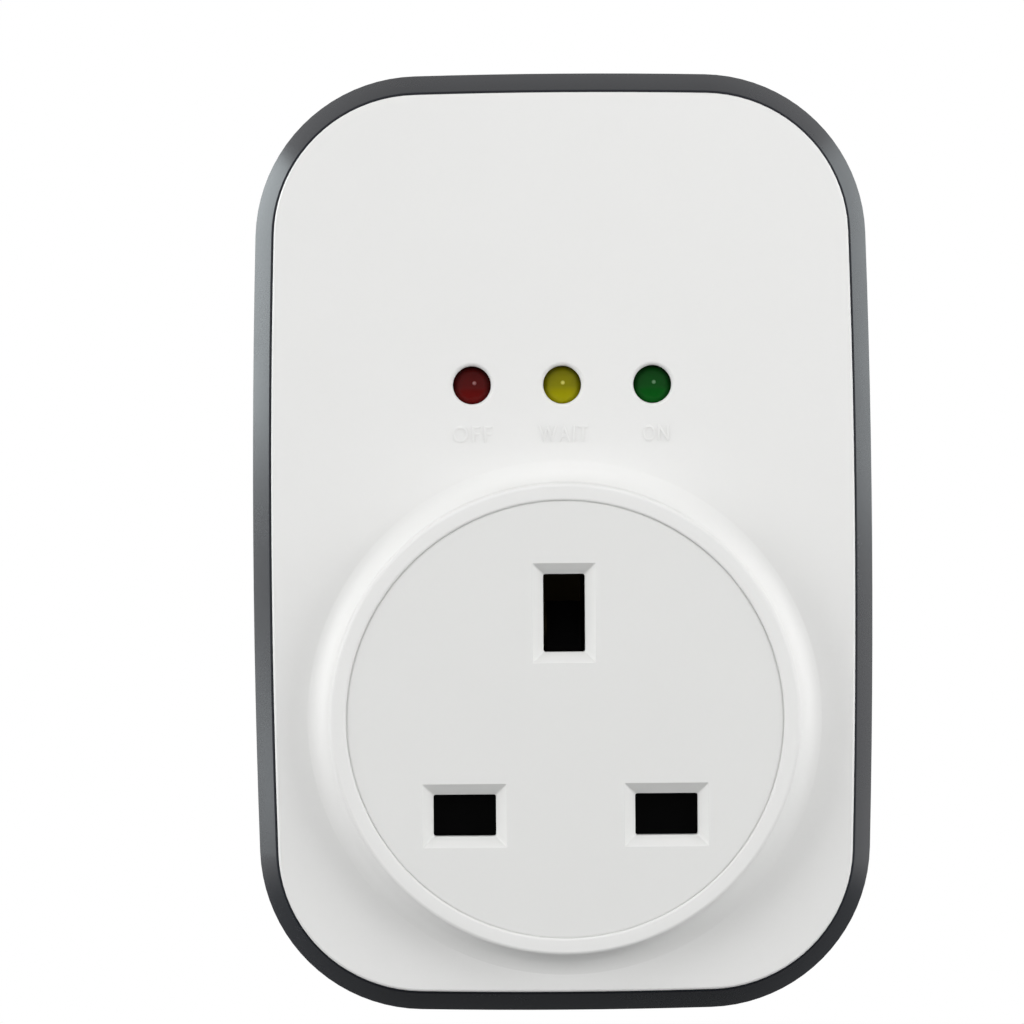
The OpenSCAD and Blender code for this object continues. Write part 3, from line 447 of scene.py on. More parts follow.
class Tree(Nodes):
    """Builds one Geometry Nodes tree, whose inputs are its geometry, its named sizes and its material."""

    def __init__(self, name, sockets):
        super().__init__(bpy.data.node_groups.new(name, "GeometryNodeTree"))
        face = self.tree.interface
        face.new_socket("Geometry", in_out="INPUT", socket_type="NodeSocketGeometry")
        for label, value in sockets.items():
            kind = "NodeSocketInt" if isinstance(value, int) else "NodeSocketFloat"
            socket = face.new_socket(label, in_out="INPUT", socket_type=kind)
            socket.description = label
            socket.default_value = value
        face.new_socket("Material", in_out="INPUT", socket_type="NodeSocketMaterial").description = "Material"
        face.new_socket("Geometry", in_out="OUTPUT", socket_type="NodeSocketGeometry")
        self.start = self.tree.nodes.new("NodeGroupInput")

    def socket(self, label):
        """An input of the tree."""
        return self.start.outputs[label]

    def times(self, value, factor):
        """A value made larger or smaller."""
        return self.maths("MULTIPLY", value, factor)

    def join(self, *parts):
        """Joins several pieces of geometry."""
        return self.node("GeometryNodeJoinGeometry", {0: list(parts)})

    def lift(self, geometry, height):
        """Geometry moved along z."""
        place = self.node("ShaderNodeCombineXYZ", {"Z": height})
        return self.node("GeometryNodeTransform", {"Geometry": geometry, "Translation": place})

    def cone(self, low, high, depth, at, sides):
        """A cone's slice that stands on the height at."""
        made = self.node("GeometryNodeMeshCone", {
            "Vertices": sides, "Radius Bottom": low, "Radius Top": high, "Depth": depth})
        return self.lift(made, at)

    def helix(self, radius, turns, height, sides):
        """A level spiral of one radius."""
        return self.node("GeometryNodeCurveSpiral", {
            "Resolution": sides, "Rotations": turns, "Height": height,
            "Start Radius": radius, "End Radius": radius})

    def tube(self, curve, radius, sides):
        """A round wire along a curve, with closed ends."""
        ring = self.node("GeometryNodeCurvePrimitiveCircle", {"Resolution": sides, "Radius": radius})
        return self.node("GeometryNodeCurveToMesh", {
            "Curve": curve, "Profile Curve": ring, "Fill Caps": True})

    def cut(self, operation, body, others):
        """Merges or cuts meshes."""
        inputs = {"Self Intersection": True, "Mesh 2": others}
        if body is not None:
            inputs["Mesh 1"] = body
        return self.node("GeometryNodeMeshBoolean", inputs, operation=operation, solver="EXACT")

    def by_chance(self, low, high):
        """A number that differs from point to point, from the tree's seed."""
        return self.node("FunctionNodeRandomValue", {"Min": low, "Max": high, "Seed": self.socket("Seed")},
                         output=1, data_type="FLOAT")

    def set_out(self, shape, points=None, **more):
        """One copy of a shape on each point that the tree is given, then its end."""
        return self.close(self.node("GeometryNodeInstanceOnPoints", {
            "Points": points or self.socket("Geometry"), "Instance": shape, **more}))

    def close(self, geometry):
        """Ends the tree: instances made real, then the material."""
        real = self.node("GeometryNodeRealizeInstances", {0: geometry})
        done = self.node("GeometryNodeSetMaterial", {"Geometry": real, "Material": self.socket("Material")})
        self.node("NodeGroupOutput", {0: done}, output=None)
        return self.tree


def grow(name, points, edges, group, finish, sizes):
    """Runs a tree on points in plan and keeps its result as a plain mesh."""
    mesh = bpy.data.meshes.new(name)
    mesh.from_pydata(points, edges, [])
    piece = bpy.data.objects.new(name, mesh)
    bpy.context.scene.collection.objects.link(piece)
    run = piece.modifiers.new("grow", "NODES")
    run.node_group = group
    values = {**sizes, "Material": FINISHES[finish]}
    for item in group.interface.items_tree:
        if item.in_out == "INPUT" and item.name in values:
            run[item.identifier] = values[item.name]
    freeze(piece)
    if not piece.data.polygons:
        raise RuntimeError(name + " came out empty")
    return piece


def screw_tree():
    """Cross-head screws on points, each with its head's underside on the point."""
    tree = Tree("Screws", {
        "Shaft Radius": 1.4, "Shaft Length": 18.0, "Head Radius": 2.8, "Head Height": 2.2,
        "Thread Pitch": 1.1, "Seed": 4})
    shaft_r = tree.socket("Shaft Radius")
    head_r = tree.socket("Head Radius")
    head_h = tree.socket("Head Height")
    point = tree.times(shaft_r, 0.9)
    rim = tree.times(head_h, 0.6)
    plain = tree.maths("SUBTRACT", tree.socket("Shaft Length"), point)
    down = tree.times(head_h, -1.0)
    low_rim = tree.times(rim, -1.0)
    mid = tree.times(head_h, -0.86)
    wide = tree.times(head_r, 0.9)
    top = tree.times(head_r, 0.72)
    head = tree.join(
        tree.cone(head_r, head_r, rim, low_rim, 40),
        tree.cone(wide, head_r, tree.maths("SUBTRACT", low_rim, mid), mid, 40),
        tree.cone(top, wide, tree.maths("SUBTRACT", mid, down), down, 40))
    root = tree.times(shaft_r, 0.86)
    shaft = tree.join(
        tree.cone(root, root, plain, 0.0, 24),
        tree.cone(root, tree.times(shaft_r, 0.3), point, plain, 24))
    slot_w = tree.times(head_r, 0.3)
    slot_l = tree.times(head_r, 1.2)
    slot_d = tree.times(head_h, 1.1)
    slots = []
    for one, two in ((slot_w, slot_l), (slot_l, slot_w)):
        size = tree.node("ShaderNodeCombineXYZ", {"X": one, "Y": two, "Z": slot_d})
        slots.append(tree.lift(tree.node("GeometryNodeMeshCube", {"Size": size}), down))
    crossed = tree.cut("DIFFERENCE", tree.cut("UNION", None, head), slots)
    threaded = tree.times(plain, 0.97)
    turns = tree.maths("DIVIDE", threaded, tree.socket("Thread Pitch"))
    thread = tree.tube(tree.helix(root, turns, threaded, 20), tree.times(shaft_r, 0.14), 4)
    about = tree.node("ShaderNodeCombineXYZ", {"Z": tree.by_chance(0.0, 1.5)})
    return tree.set_out(tree.join(crossed, shaft, thread), Rotation=about)


def spring_tree():
    """A compression spring along its own y, with a closed turn at each end."""
    tree = Tree("Shutter spring", {
        "Coil Radius": 1.45, "Wire Radius": 0.2, "Length": 10.8, "Free Turns": 9})
    total = tree.maths("ADD", tree.socket("Free Turns"), 2.0)
    close = tree.times(tree.socket("Wire Radius"), 2.1)
    free = tree.maths("SUBTRACT", tree.socket("Length"), tree.times(close, 2.0))
    line = tree.node("GeometryNodeCurvePrimitiveLine", {"End": (1.0, 0.0, 0.0)})
    fine = tree.node("GeometryNodeResampleCurve", {"Curve": line, "Count": tree.times(total, 26.0)})
    along = tree.times(tree.node("GeometryNodeSplineParameter"), total)
    turned_by = tree.times(along, 2 * math.pi)

    def rise(low, high, size):
        return tree.node("ShaderNodeMapRange", {
            "Value": along, "From Min": low, "From Max": high, "To Min": 0.0, "To Max": size})

    last = tree.maths("SUBTRACT", total, 1.0)
    up = tree.maths("ADD", rise(0.0, 1.0, close), rise(1.0, last, free))
    up = tree.maths("ADD", up, rise(last, total, close))
    radius = tree.socket("Coil Radius")
    place = tree.node("ShaderNodeCombineXYZ", {
        "X": tree.times(tree.maths("COSINE", turned_by), radius), "Y": up,
        "Z": tree.times(tree.maths("SINE", turned_by), radius)})
    coil = tree.node("GeometryNodeSetPosition", {"Geometry": fine, "Position": place})
    start = tree.node("GeometryNodeMeshToPoints", {"Mesh": tree.socket("Geometry")})
    return tree.set_out(tree.tube(coil, tree.socket("Wire Radius"), 10), start)


def winding_tree():
    """A layer of wire wound round an axis that stands out of the wall."""
    tree = Tree("Winding", {"Radius": 6.4, "Wire Radius": 0.16, "Height": 7.4, "Turns": 23})
    helix = tree.helix(tree.socket("Radius"), tree.socket("Turns"), tree.socket("Height"), 48)
    return tree.set_out(tree.tube(helix, tree.socket("Wire Radius"), 8))


def sleeve_tree():
    """A round tube along a path of edges."""
    tree = Tree("Wire sleeve", {"Radius": 1.3, "Sides": 20})
    route = tree.node("GeometryNodeMeshToCurve", {"Mesh": tree.socket("Geometry")})
    return tree.close(tree.tube(route, tree.socket("Radius"), tree.socket("Sides")))


def solder_tree():
    """Small solder cones on points of the board's front."""
    tree = Tree("Solder joints", {"Foot": 1.0, "Height": 0.85, "Seed": 9})
    foot = tree.socket("Foot")
    tall = tree.socket("Height")
    waist = tree.times(foot, 0.62)
    collar = tree.times(tall, 0.35)
    low = tree.cone(foot, waist, collar, 0.0, 16)
    high = tree.cone(waist, tree.times(foot, 0.38), tree.times(tall, 0.65), collar, 16)
    return tree.set_out(tree.join(low, high), Scale=tree.by_chance(0.88, 1.08))


# Finishes


class Finish(Nodes):
    """Builds one procedural material from Object coordinates."""

    def __init__(self, name):
        self.material = bpy.data.materials.new(name)
        self.material.use_nodes = True
        super().__init__(self.material.node_tree)
        self.shader = self.tree.nodes["Principled BSDF"]
        self.place = self.node("ShaderNodeTexCoord", output="Object")

    def noise(self, size, detail=2.0, stretch=None):
        """Soft noise whose patches are about size millimetres wide."""
        place = self.place
        if stretch:
            place = self.node("ShaderNodeMapping", {"Vector": place, "Scale": stretch})
        return self.node("ShaderNodeTexNoise", {
            "Vector": place, "Scale": 1.0 / (size * MM), "Detail": detail})

    def ramp(self, value, low, high):
        """Spreads a value between two limits over 0 to 1."""
        return self.node("ShaderNodeMapRange", {
            "Value": value, "From Min": low, "From Max": high, "To Min": 0.0, "To Max": 1.0})

    def between(self, value, low, high):
        """Carries a 0 to 1 value over to a range."""
        return self.node("ShaderNodeMapRange", {"Value": value, "To Min": low, "To Max": high})

    def blend(self, share, one, two):
        """A colour between two colours."""
        return self.node("ShaderNodeMix", {0: share, 6: one, 7: two}, output=2, data_type="RGBA")

    def weigh(self, *terms, limit=False):
        """The sum of values, each times its weight."""
        total = None
        for value, weight in terms:
            part = self.maths("MULTIPLY", value, weight)
            total = part if total is None else self.maths("ADD", total, part, limit=limit)
        return total

    def reach(self, one, two):
        """The square of the distance from where two values are zero."""
        return self.weigh((one, one), (two, two))

    def set(self, **values):
        """Sets sockets of the shader, by name with underscores for spaces, and returns the material."""
        for key, value in values.items():
            socket = self.shader.inputs[key.replace("_", " ")]
            if isinstance(value, bpy.types.NodeSocket):
                self.tree.links.new(value, socket)
            else:
                socket.default_value = value
        return self.material

    def relief(self, height, depth, strength=1.0, under=None):
        """Bump from a height, depth in millimetres."""
        inputs = {"Height": height, "Distance": depth * MM, "Strength": strength}
        if under is not None:
            inputs["Normal"] = under
        return self.node("ShaderNodeBump", inputs)

    def axis(self, name):
        """One of the plan coordinates in millimetres."""
        output, scale = {"x": (0, 1 / MM), "y": (2, 1 / MM), "z": (1, -1 / MM)}[name]
        return self.maths("MULTIPLY", self.node("ShaderNodeSeparateXYZ", {0: self.place}, output), scale)

    def off(self, axis, middle):
        """How far a point lies past the middle along an axis."""
        return self.maths("SUBTRACT", self.axis(axis), middle)

    def beyond(self, value, edge):
        """1 where a value is over an edge, and 0 below it."""
        return self.maths("GREATER_THAN", value, edge)

    def near(self, value, middle, half):
        """1 within half of the middle, and 0 outside it."""
        away = self.maths("ABSOLUTE", self.maths("SUBTRACT", value, middle))
        return self.maths("LESS_THAN", away, half)


def tone(colour, factor, added=0.0):
    """A colour made lighter or darker, with full alpha."""
    return tuple(min(1.0, part * factor + added) for part in colour[:3]) + (1.0,)


def moulded(name, colour, roughness, grain, depth, mottle, **more):
    """Moulded plastic: a fine spark-eroded grain and a faint unevenness of colour and gloss."""
    finish = Finish(name)
    broad = finish.noise(14.0, 3.0)
    fine = finish.noise(grain, 3.0)
    share = finish.ramp(finish.weigh((broad, 0.7), (fine, 0.3)), 0.3, 0.7)
    return finish.set(
        Base_Color=finish.blend(share, tone(colour, 1 - mottle), tone(colour, 1 + mottle)),
        Roughness=finish.between(share, roughness - 0.03, roughness + 0.04),
        Normal=finish.relief(fine, depth, 0.5),
        **more)


def metal(name, colour, roughness, brushed=None, tarnish=0.15, **more):
    """Bare metal: drawn or plated, with faint tarnish and handling marks."""
    finish = Finish(name)
    cloud = finish.ramp(finish.noise(6.0, 2.0), 0.25, 0.8)
    lines = finish.noise(0.25, 3.0, brushed)
    gloss = finish.weigh((cloud, 0.5), (lines, 0.5))
    dull = finish.maths("MULTIPLY", cloud, tarnish)
    return finish.set(
        Base_Color=finish.blend(dull, tone(colour, 1.0), tone(colour, 0.6)),
        Metallic=1.0,
        Roughness=finish.between(gloss, roughness - 0.04, roughness + 0.05),
        Normal=finish.relief(lines, 0.004, 0.4),
        **more)


def lens(name, colour, painted_glint_x):
    """Tinted lamp lens with painted shade at its rim and top, painted light lower down, and a painted
    highlight a little off its middle.
    """
    finish = Finish(name + "_lens")
    middle = LAMPS[name]
    dx = finish.off("x", middle[0])
    dy = finish.off("y", middle[1])
    # Painted shade: darker towards the rim, where the hole's wall would shade the lens.
    edge = finish.ramp(finish.maths("SQRT", finish.reach(dx, dy)), 0.7, 2.3)
    # Painted shade: darker towards the top, lighter towards the bottom.
    top = finish.ramp(dy, -1.6, 2.3)
    cloud = finish.noise(0.9, 2.0)
    # How much painted shade each point takes, with a little random tone.
    depth = finish.weigh((edge, 0.2), (top, 0.75), (cloud, 0.15), limit=True)
    body = finish.blend(depth, tone(colour, 1.38), tone(colour, 0.42))
    # Painted light: the lower part of the lens made lighter.
    body = finish.blend(finish.ramp(dy, -0.1, -2.3), body, tone(colour, 2.45))
    # Painted highlight: a small light spot a little right of and above the lens's middle.
    apart = finish.reach(finish.maths("SUBTRACT", dx, painted_glint_x), finish.maths("SUBTRACT", dy, 0.22))
    return finish.set(
        Base_Color=finish.blend(finish.ramp(apart, 0.07, 0.0), body, tone(colour, 2.4, 0.1)),
        Roughness=finish.between(cloud, 0.05, 0.08),
        Specular_IOR_Level=0.08)


TINNED = (0.6, 0.6, 0.61, 1.0)


def bodied(name, colour, roughness, mask, marks=()):
    """A component's body with tinned legs: mask makes the part of the mesh that is leg."""
    finish = Finish(name)
    cloud = finish.ramp(finish.noise(1.2, 3.0), 0.3, 0.7)
    fine = finish.noise(0.12, 3.0)
    body = finish.blend(cloud, tone(colour, 0.93), tone(colour, 1.07))
    for where, tint in marks:
        body = finish.blend(where(finish), body, tone(tint, 1.0))
    leg = mask(finish)
    return finish.set(
        Base_Color=finish.blend(leg, body, TINNED),
        Metallic=leg,
        Roughness=finish.between(fine, roughness - 0.05, roughness + 0.05),
        Normal=finish.relief(fine, 0.006, 0.5))


def board_finish(colour):
    """Circuit board: green mask over copper tracks, with the weave faintly showing."""
    finish = Finish("board_mask")
    x = finish.axis("x")
    y = finish.axis("y")
    threads = [finish.maths("SINE", finish.maths("MULTIPLY", along, 11.0)) for along in (x, y)]
    steps = [finish.maths("FRACT", finish.maths("DIVIDE", along, 1.7)) for along in (x, y)]
    strips = [finish.near(step, 0.5, 0.2) for step in steps]
    weave = finish.maths("MULTIPLY", *threads)
    field = finish.node("ShaderNodeTexVoronoi", {"Vector": finish.place, "Scale": 115.0, "Randomness": 0.75},
                        output="Color", distance="CHEBYCHEV")
    turn = finish.beyond(finish.node("ShaderNodeSeparateColor", {"Color": field}), 0.5)
    gone = finish.beyond(finish.node("ShaderNodeSeparateColor", {"Color": field}, output=1), 0.72)
    lanes = finish.node("ShaderNodeMix", {0: turn, 2: strips[0], 3: strips[1]})
    lanes = finish.maths("MAXIMUM", lanes, gone)
    cloud = finish.ramp(finish.noise(5.0, 2.0), 0.4, 0.6)
    mask = finish.blend(lanes, tone(colour, 0.9), tone(colour, 1.6))
    return finish.set(
        Base_Color=finish.blend(finish.maths("MULTIPLY", cloud, 0.25), mask, tone(colour, 0.6)),
        Roughness=finish.between(cloud, 0.28, 0.4),
        Normal=finish.relief(weave, 0.004, 0.5, finish.relief(lanes, 0.03, 0.6)))


def insulation(name, colour):
    """Wire sleeve: soft plastic with faint drawing lines along it."""
    finish = Finish(name)
    cloud = finish.ramp(finish.noise(2.0, 3.0), 0.35, 0.65)
    lines = finish.noise(0.2, 2.0, (1.0, 1.0, 0.15))
    return finish.set(
        Base_Color=finish.blend(cloud, tone(colour, 0.9), tone(colour, 1.1)),
        Roughness=finish.between(lines, 0.32, 0.45),
        Normal=finish.relief(lines, 0.01, 0.5))


FINISHES = {}


def make_finishes():
    """The materials of the plastics, metals, lamps, board and wires, each made once."""
    tints = bpy.context.scene.protector_colours
    FINISHES.update({
        "case": moulded("case_plastic", tints.case, 0.26, 0.3, 0.002, 0.05, Specular_IOR_Level=0.09),
        "cover": moulded("cover_plastic", tints.cover, 0.36, 0.35, 0.004, 0.008,
                         Coat_Weight=0.1, Coat_Roughness=0.3),
        "socket": moulded("socket_plastic", tints.socket, 0.32, 0.35, 0.003, 0.008,
                          Coat_Weight=0.1, Coat_Roughness=0.25),
        "black": moulded("black_plastic", tints.black, 0.45, 0.3, 0.01, 0.1, Specular_IOR_Level=0.3),
        "shutter": moulded("shutter_plastic", tints.shutter, 0.7, 0.3, 0.012, 0.1, Specular_IOR_Level=0.02),
        "bobbin": moulded("bobbin_plastic", (0.62, 0.60, 0.52), 0.45, 0.4, 0.01, 0.04),
        "relay": moulded("relay_plastic", (0.016, 0.022, 0.038), 0.3, 0.5, 0.004, 0.08),
        "steel": metal("zinc_plate", tints.steel, 0.3),
        "iron": metal("soft_iron", (0.42, 0.42, 0.43), 0.4, (1.0, 0.2, 1.0), 0.25),
        "brass": metal("brass_strip", tints.brass, 0.28, (1.0, 0.15, 1.0), 0.2),
        # Painted shade: nearly black brass for the socket's contacts, standing in for the shade deep inside
        # the slots.
        "shade_darkened": metal("aged_brass", (0.055, 0.042, 0.022), 0.5, (1.0, 0.15, 1.0), 0.5),
        "pin": metal("pin_metal", tints.brass, 0.26, (1.0, 0.12, 1.0), 0.06),
        "copper": metal("contact_copper", tints.copper, 0.3, None, 0.3),
        "enamel": metal("wire_enamel", (0.62, 0.22, 0.08), 0.26, None, 0.2,
                        Coat_Weight=0.6, Coat_Roughness=0.12),
        "solder": metal("solder", (0.66, 0.66, 0.67), 0.25, None, 0.35),
        "board": board_finish(tints.board),
        "brown": insulation("brown_sleeve", tints.brown),
        "blue": insulation("blue_sleeve", tints.blue),
        # The third number sets how far right of each lens's middle its painted highlight sits, in
        # millimetres.
        "red_lens": lens("red", tints.red, 0.28),
        "yellow_lens": lens("yellow", tints.yellow, 0.07),
        "green_lens": lens("green", tints.green, 0.16),
    })


# Pieces


class PROTECTOR_OT_case(bpy.types.Operator):
    """Makes the dark rear case with its plug base, screw bosses and pin holes"""

    bl_idname = "protector.case"
    bl_label = "Rear case"

    def execute(self, context):
        size = Millimetres(context.scene.protector_case)
        shape = Outline.of_case(size)
        wall, turn, rim = size.wall, size.slope_turn, CASE_RIM
        back = 5.0
        floor = 7.2
        steep, flat = 64.0, 20.0
        lip_edge = 0.05
        low = rim - size.slope_depth

        # The shell, from the back edge to the rim's lip and down inside
        edge = bend(size.draft + size.back_edge, back + size.back_edge, size.back_edge, 270, 180, 10)
        side = [(size.draft * 0.6, 18.0), (size.draft * 0.25, 27.0)]
        shoulder = [(0.01, low - 0.9), (0.0, low - 0.45), (0.0, low)]
        lean = math.radians(flat)
        slope = bend(size.slope_width + turn * math.sin(lean), rim - turn * math.cos(lean), turn,
                     90 + steep, 90 + flat, 7)
        land = [(size.slope_width + 0.07, rim + 0.02)]
        land += bend(size.lip - lip_edge, rim + 0.03 - lip_edge, lip_edge, 90, 0, 3)
        inside = [(size.lip, rim - 0.5), (wall, rim - 0.8), (wall, floor + 2.2), (wall + 2.2, floor)]
        body = loft("case_shell", shape.rings(edge + side + shoulder + slope + land + inside))

        # The plug's base and the tubes that the case screws run in
        plug = Outline(PLUG_MIDDLE, 52.0, 48.0, 12.0, 0.08, 0.08, (3, 10, 3))
        base = loft("plug_base", plug.rings(bend(1.0, 1.0, 1.0, 270, 180, 6) + [(0.0, floor)]))
        boss, head, shank, seat = 4.2, 3.1, 1.7, CASE_SCREW_SEAT
        bosses = columns("boss", CASE_SCREWS, [(boss, 6.1), (boss, 23.5), (boss - 0.2, 23.7)], 48)
        joined(body, "UNION", [base] + bosses)
        cuts = [loft("hollow", plug.rings([(2.2, 2.5), (2.2, floor + 1)]))]
        cuts += columns("hole", CASE_SCREWS, [
            (head + 0.3, -1.0), (head + 0.3, 4.9), (head + 0.08, 5.25), (head, 5.6), (head, seat),
            (shank, seat), (shank, 24.7)], 48)

        # The pins' holes, with a lead-in at the back
        room, lead = 0.1, 0.4
        for at, (wide, high) in PINS.values():
            mouth = [rounded(at, wide + lead, high + lead, 0.25, z) for z in (-1.0, -0.02)]
            throat = [rounded(at, wide + room, high + room, 0.25, z) for z in (0.15, 3.5)]
            cuts.append(loft("pin_hole", mouth + throat))
        joined(body, "DIFFERENCE", cuts)

        # Posts that take the clamp's screws
        joined(body, "UNION", columns("clamp_post", CLAMP_SCREWS, [(2.5, 2.2), (2.5, 4.7)], 36))
        joined(body, "DIFFERENCE", columns("clamp_hole", CLAMP_SCREWS, [(1.05, 2.6), (1.05, 5.7)], 24))
        hand_over(body, "case", "case", "rear_case")
        return {"FINISHED"}


class PROTECTOR_OT_cover(bpy.types.Operator):
    """Makes the white front cover with its raised ring, flare, lamp holes and posts"""

    bl_idname = "protector.cover"
    bl_label = "Front cover"

    def execute(self, context):
        case = Millimetres(context.scene.protector_case)
        size = Millimetres(context.scene.protector_cover)
        shape = Outline.of_case(case)
        face, under = COVER_FACE, COVER_UNDER
        joint = under + 0.9
        top = face + size.ring_height
        inset = case.wall + size.gap
        wall, skirt = 1.6, 34.0
        inner = inset + wall
        edge = bend(inset + size.edge, face - size.edge, size.edge, 180, 90, 8)
        body = loft("cover_shell", shape.rings(
            [(inner, skirt), (inset, skirt)] + edge + [(inset + size.edge + 0.6, face)]))
        hollow = loft("hollow", shape.rings([(inner, skirt - 1), (inner, under - 0.4), (inner + 0.4, under)]))
        joined(body, "DIFFERENCE", [hollow])

        # The raised ring with the flare at its foot, and the posts behind
        slope = size.group.flare_slope
        foot = size.ring + size.ring_edge + 0.06 + math.sin(slope) * size.flare
        bore = size.opening - 0.6
        flare = bend(foot, face + size.flare - 0.016, size.flare, 264, 270 - math.degrees(slope), 14)
        brow = bend(size.ring, top - size.ring_edge, size.ring_edge, 2, 90, 8)
        base = [(bore, joint), (foot - 0.6, joint)]
        parts = [turned("ring", SOCKET_MIDDLE, base + flare + brow + [(bore, top)], 160, closed=True)]
        for places, radius, low in (
            (CASE_SCREWS, 3.2, 24.0), (BOARD_SCREWS, 2.6, BOARD_FRONT), (BASE_SCREWS, 2.3, 31.8),
        ):
            parts += columns("post", places, [(radius, low), (radius, joint)], 40)
        joined(body, "UNION", parts)

        # The openings for the socket, the lamps and the screws
        r, turn, step = size.opening, size.opening_edge, under + 1.45
        lead = bend(r + turn * math.sin(math.radians(30)), top - turn, turn, 120, 94, 5)
        below, seat, pocket = under - 1.0, 25.45, 2.8
        cuts = [turned("opening", SOCKET_MIDDLE, [
            (seat, below), (seat, step), (r, step)] + lead + [(r + 0.5, top + 0.6)], 160)]
        hole, turn = size.lamp_hole, size.lamp_edge
        edge = bend(hole + turn, face - turn, turn, 180, 97, 7)
        cuts += columns("lamp_hole", LAMPS.values(), [
            (pocket, below), (pocket, under + 0.7), (hole + 0.42, under + 0.75), (hole, step)]
            + edge + [(hole + turn + 0.15, face + 0.08), (hole + turn + 0.25, face + 0.8)], 64)
        for places, radius, low, high in (
            (CASE_SCREWS, 1.45, 23.0, 32.65),
            (BOARD_SCREWS, 1.05, 29.2, 34.9),
            (BASE_SCREWS, 1.05, 30.8, 36.6),
        ):
            cuts += columns("screw_hole", places, [(radius, low), (radius, high)], 24)
        joined(body, "DIFFERENCE", cuts)
        hand_over(body, "cover", "cover", "front_cover")
        return {"FINISHED"}


class PROTECTOR_OT_letters(bpy.types.Operator):
    """Makes the raised words under the three lamps"""

    bl_idname = "protector.letters"
    bl_label = "Lamp words"

    def execute(self, context):
        size = Millimetres(context.scene.protector_cover)
        sink = 0.08
        line = 30.9
        for word, lamp, shift, wide in (
            ("OFF", "red", 0.0, 4.35), ("WAIT", "yellow", 0.1, 5.5), ("ON", "green", 0.35, 2.9),
        ):
            curve = bpy.data.curves.new(word, "FONT")
            curve.body = word
            curve.size = 2.6
            curve.extrude = (size.letter_relief + sink) / 2
            curve.bevel_depth = 0.02
            curve.bevel_resolution = 1
            curve.space_character = 1.22
            source = bpy.data.objects.new(word, curve)
            context.scene.collection.objects.link(source)
            graph = context.evaluated_depsgraph_get()
            mesh = bpy.data.meshes.new_from_object(source.evaluated_get(graph))
            bpy.data.objects.remove(source)
            bpy.data.curves.remove(curve)
            xs = [v.co.x for v in mesh.vertices]
            ys = [v.co.y for v in mesh.vertices]
            rise = size.letter_height / (max(ys) - min(ys))
            stretch = wide / (max(xs) - min(xs))
            move = Vector((-(max(xs) + min(xs)) / 2 * stretch + LAMPS[lamp][0] + shift,
                           -(max(ys) + min(ys)) / 2 * rise + line,
                           COVER_FACE + (size.letter_relief - sink) / 2))
            mesh.transform(Matrix.Translation(move) @ Matrix.Diagonal((stretch, rise, 1.0, 1.0)))
            tidy(mesh)
            piece = bpy.data.objects.new("word_" + word.lower(), mesh)
            context.scene.collection.objects.link(piece)
            hand_over(piece, "cover", "cover")
        return {"FINISHED"}


class PROTECTOR_OT_socket(bpy.types.Operator):
    """Makes the round socket face with its three sloped slots"""

    bl_idname = "protector.socket"
    bl_label = "Socket face"

    def slot(self, size, at, wide, high, low):
        """A cutter for one slot, wider at the face."""
        half = math.tan(math.radians(22.5))
        out = size.round_outer
        inn = size.round_inner
        bevel = size.bevel
        mouth = bend(bevel + out * half, -out, out, 97, 135, 5)
        rise = [(bevel + out * half + 0.25, 0.5), (mouth[0][0] + 0.12, 0.02)]
        throat = bend(inn, -bevel - inn * half, inn, 135, 180, 3)
        rings = []
        for more, z in rise + mouth + throat + [(0.0, low)]:
            corner = size.slot_corner - 0.14 * min(max(more, 0.0), 1.0)
            rings.append(rounded(at, wide + 2 * more, high + 2 * more, corner, SOCKET_FACE + z))
        return loft("slot", rings)

    def execute(self, context):
        size = Millimetres(context.scene.protector_socket)
        face, rim, r = SOCKET_FACE, COVER_UNDER, size.radius
        under, bore = 40.7, 22.9
        flange, step, chamfer = 25.4, 38.2, 0.1
        edge = bend(r - size.edge * math.cos(math.radians(58)), face - size.edge, size.edge, 58, 90, 5)
        body = turned("socket_disc", SOCKET_MIDDLE, [
            (bore, under), (bore, rim), (flange - chamfer, rim), (flange, rim + chamfer),
            (flange, step - chamfer), (flange - chamfer, step), (r, step)]
            + edge + [(r - 1.2, face)], 160)
        notch_top, notch_width = -14.115, 31.23
        low = SOCKET_MIDDLE[1] - r - 1.0
        cuts = [loft("notch", [
            rounded((0.0, (low + notch_top) / 2), notch_width, notch_top - low, 0.02, z, 1)
            for z in (step, under)])]
        for at, wide, high in (
            (LIVE, size.line_width, size.line_height), (NEUTRAL, size.line_width, size.line_height),
            (EARTH, size.earth_width, size.earth_height),
        ):
            cuts.append(self.slot(size, at, wide, high, under - face - 1.0))
        joined(body, "DIFFERENCE", cuts)
        hand_over(body, "socket", "cover", "socket_face")
        return {"FINISHED"}


class PROTECTOR_OT_lamps(bpy.types.Operator):
    """Makes the three tinted lamp lenses"""

    bl_idname = "protector.lamps"
    bl_label = "Lamp lenses"

    def execute(self, context):
        low, r, dome_low = BOARD_FRONT, 2.5, 36.65
        foot, tall, chamfer = 2.9, 1.0, 0.15
        flange = [(foot - chamfer, low), (foot, low + chamfer), (foot, low + tall - chamfer),
                  (foot - chamfer, low + tall), (r + 0.02, low + tall + 0.05)]
        barrel = [(r, low + tall + 0.2), (r, 34.0)]
        dome = bend(0.0, dome_low, r, 0, 87, 20)
        for name, at in LAMPS.items():
            piece = turned(name + "_lens", at, flange + barrel + dome, 64)
            hand_over(piece, name + "_lens", name + "_lens", name + "_lamp")
        return {"FINISHED"}


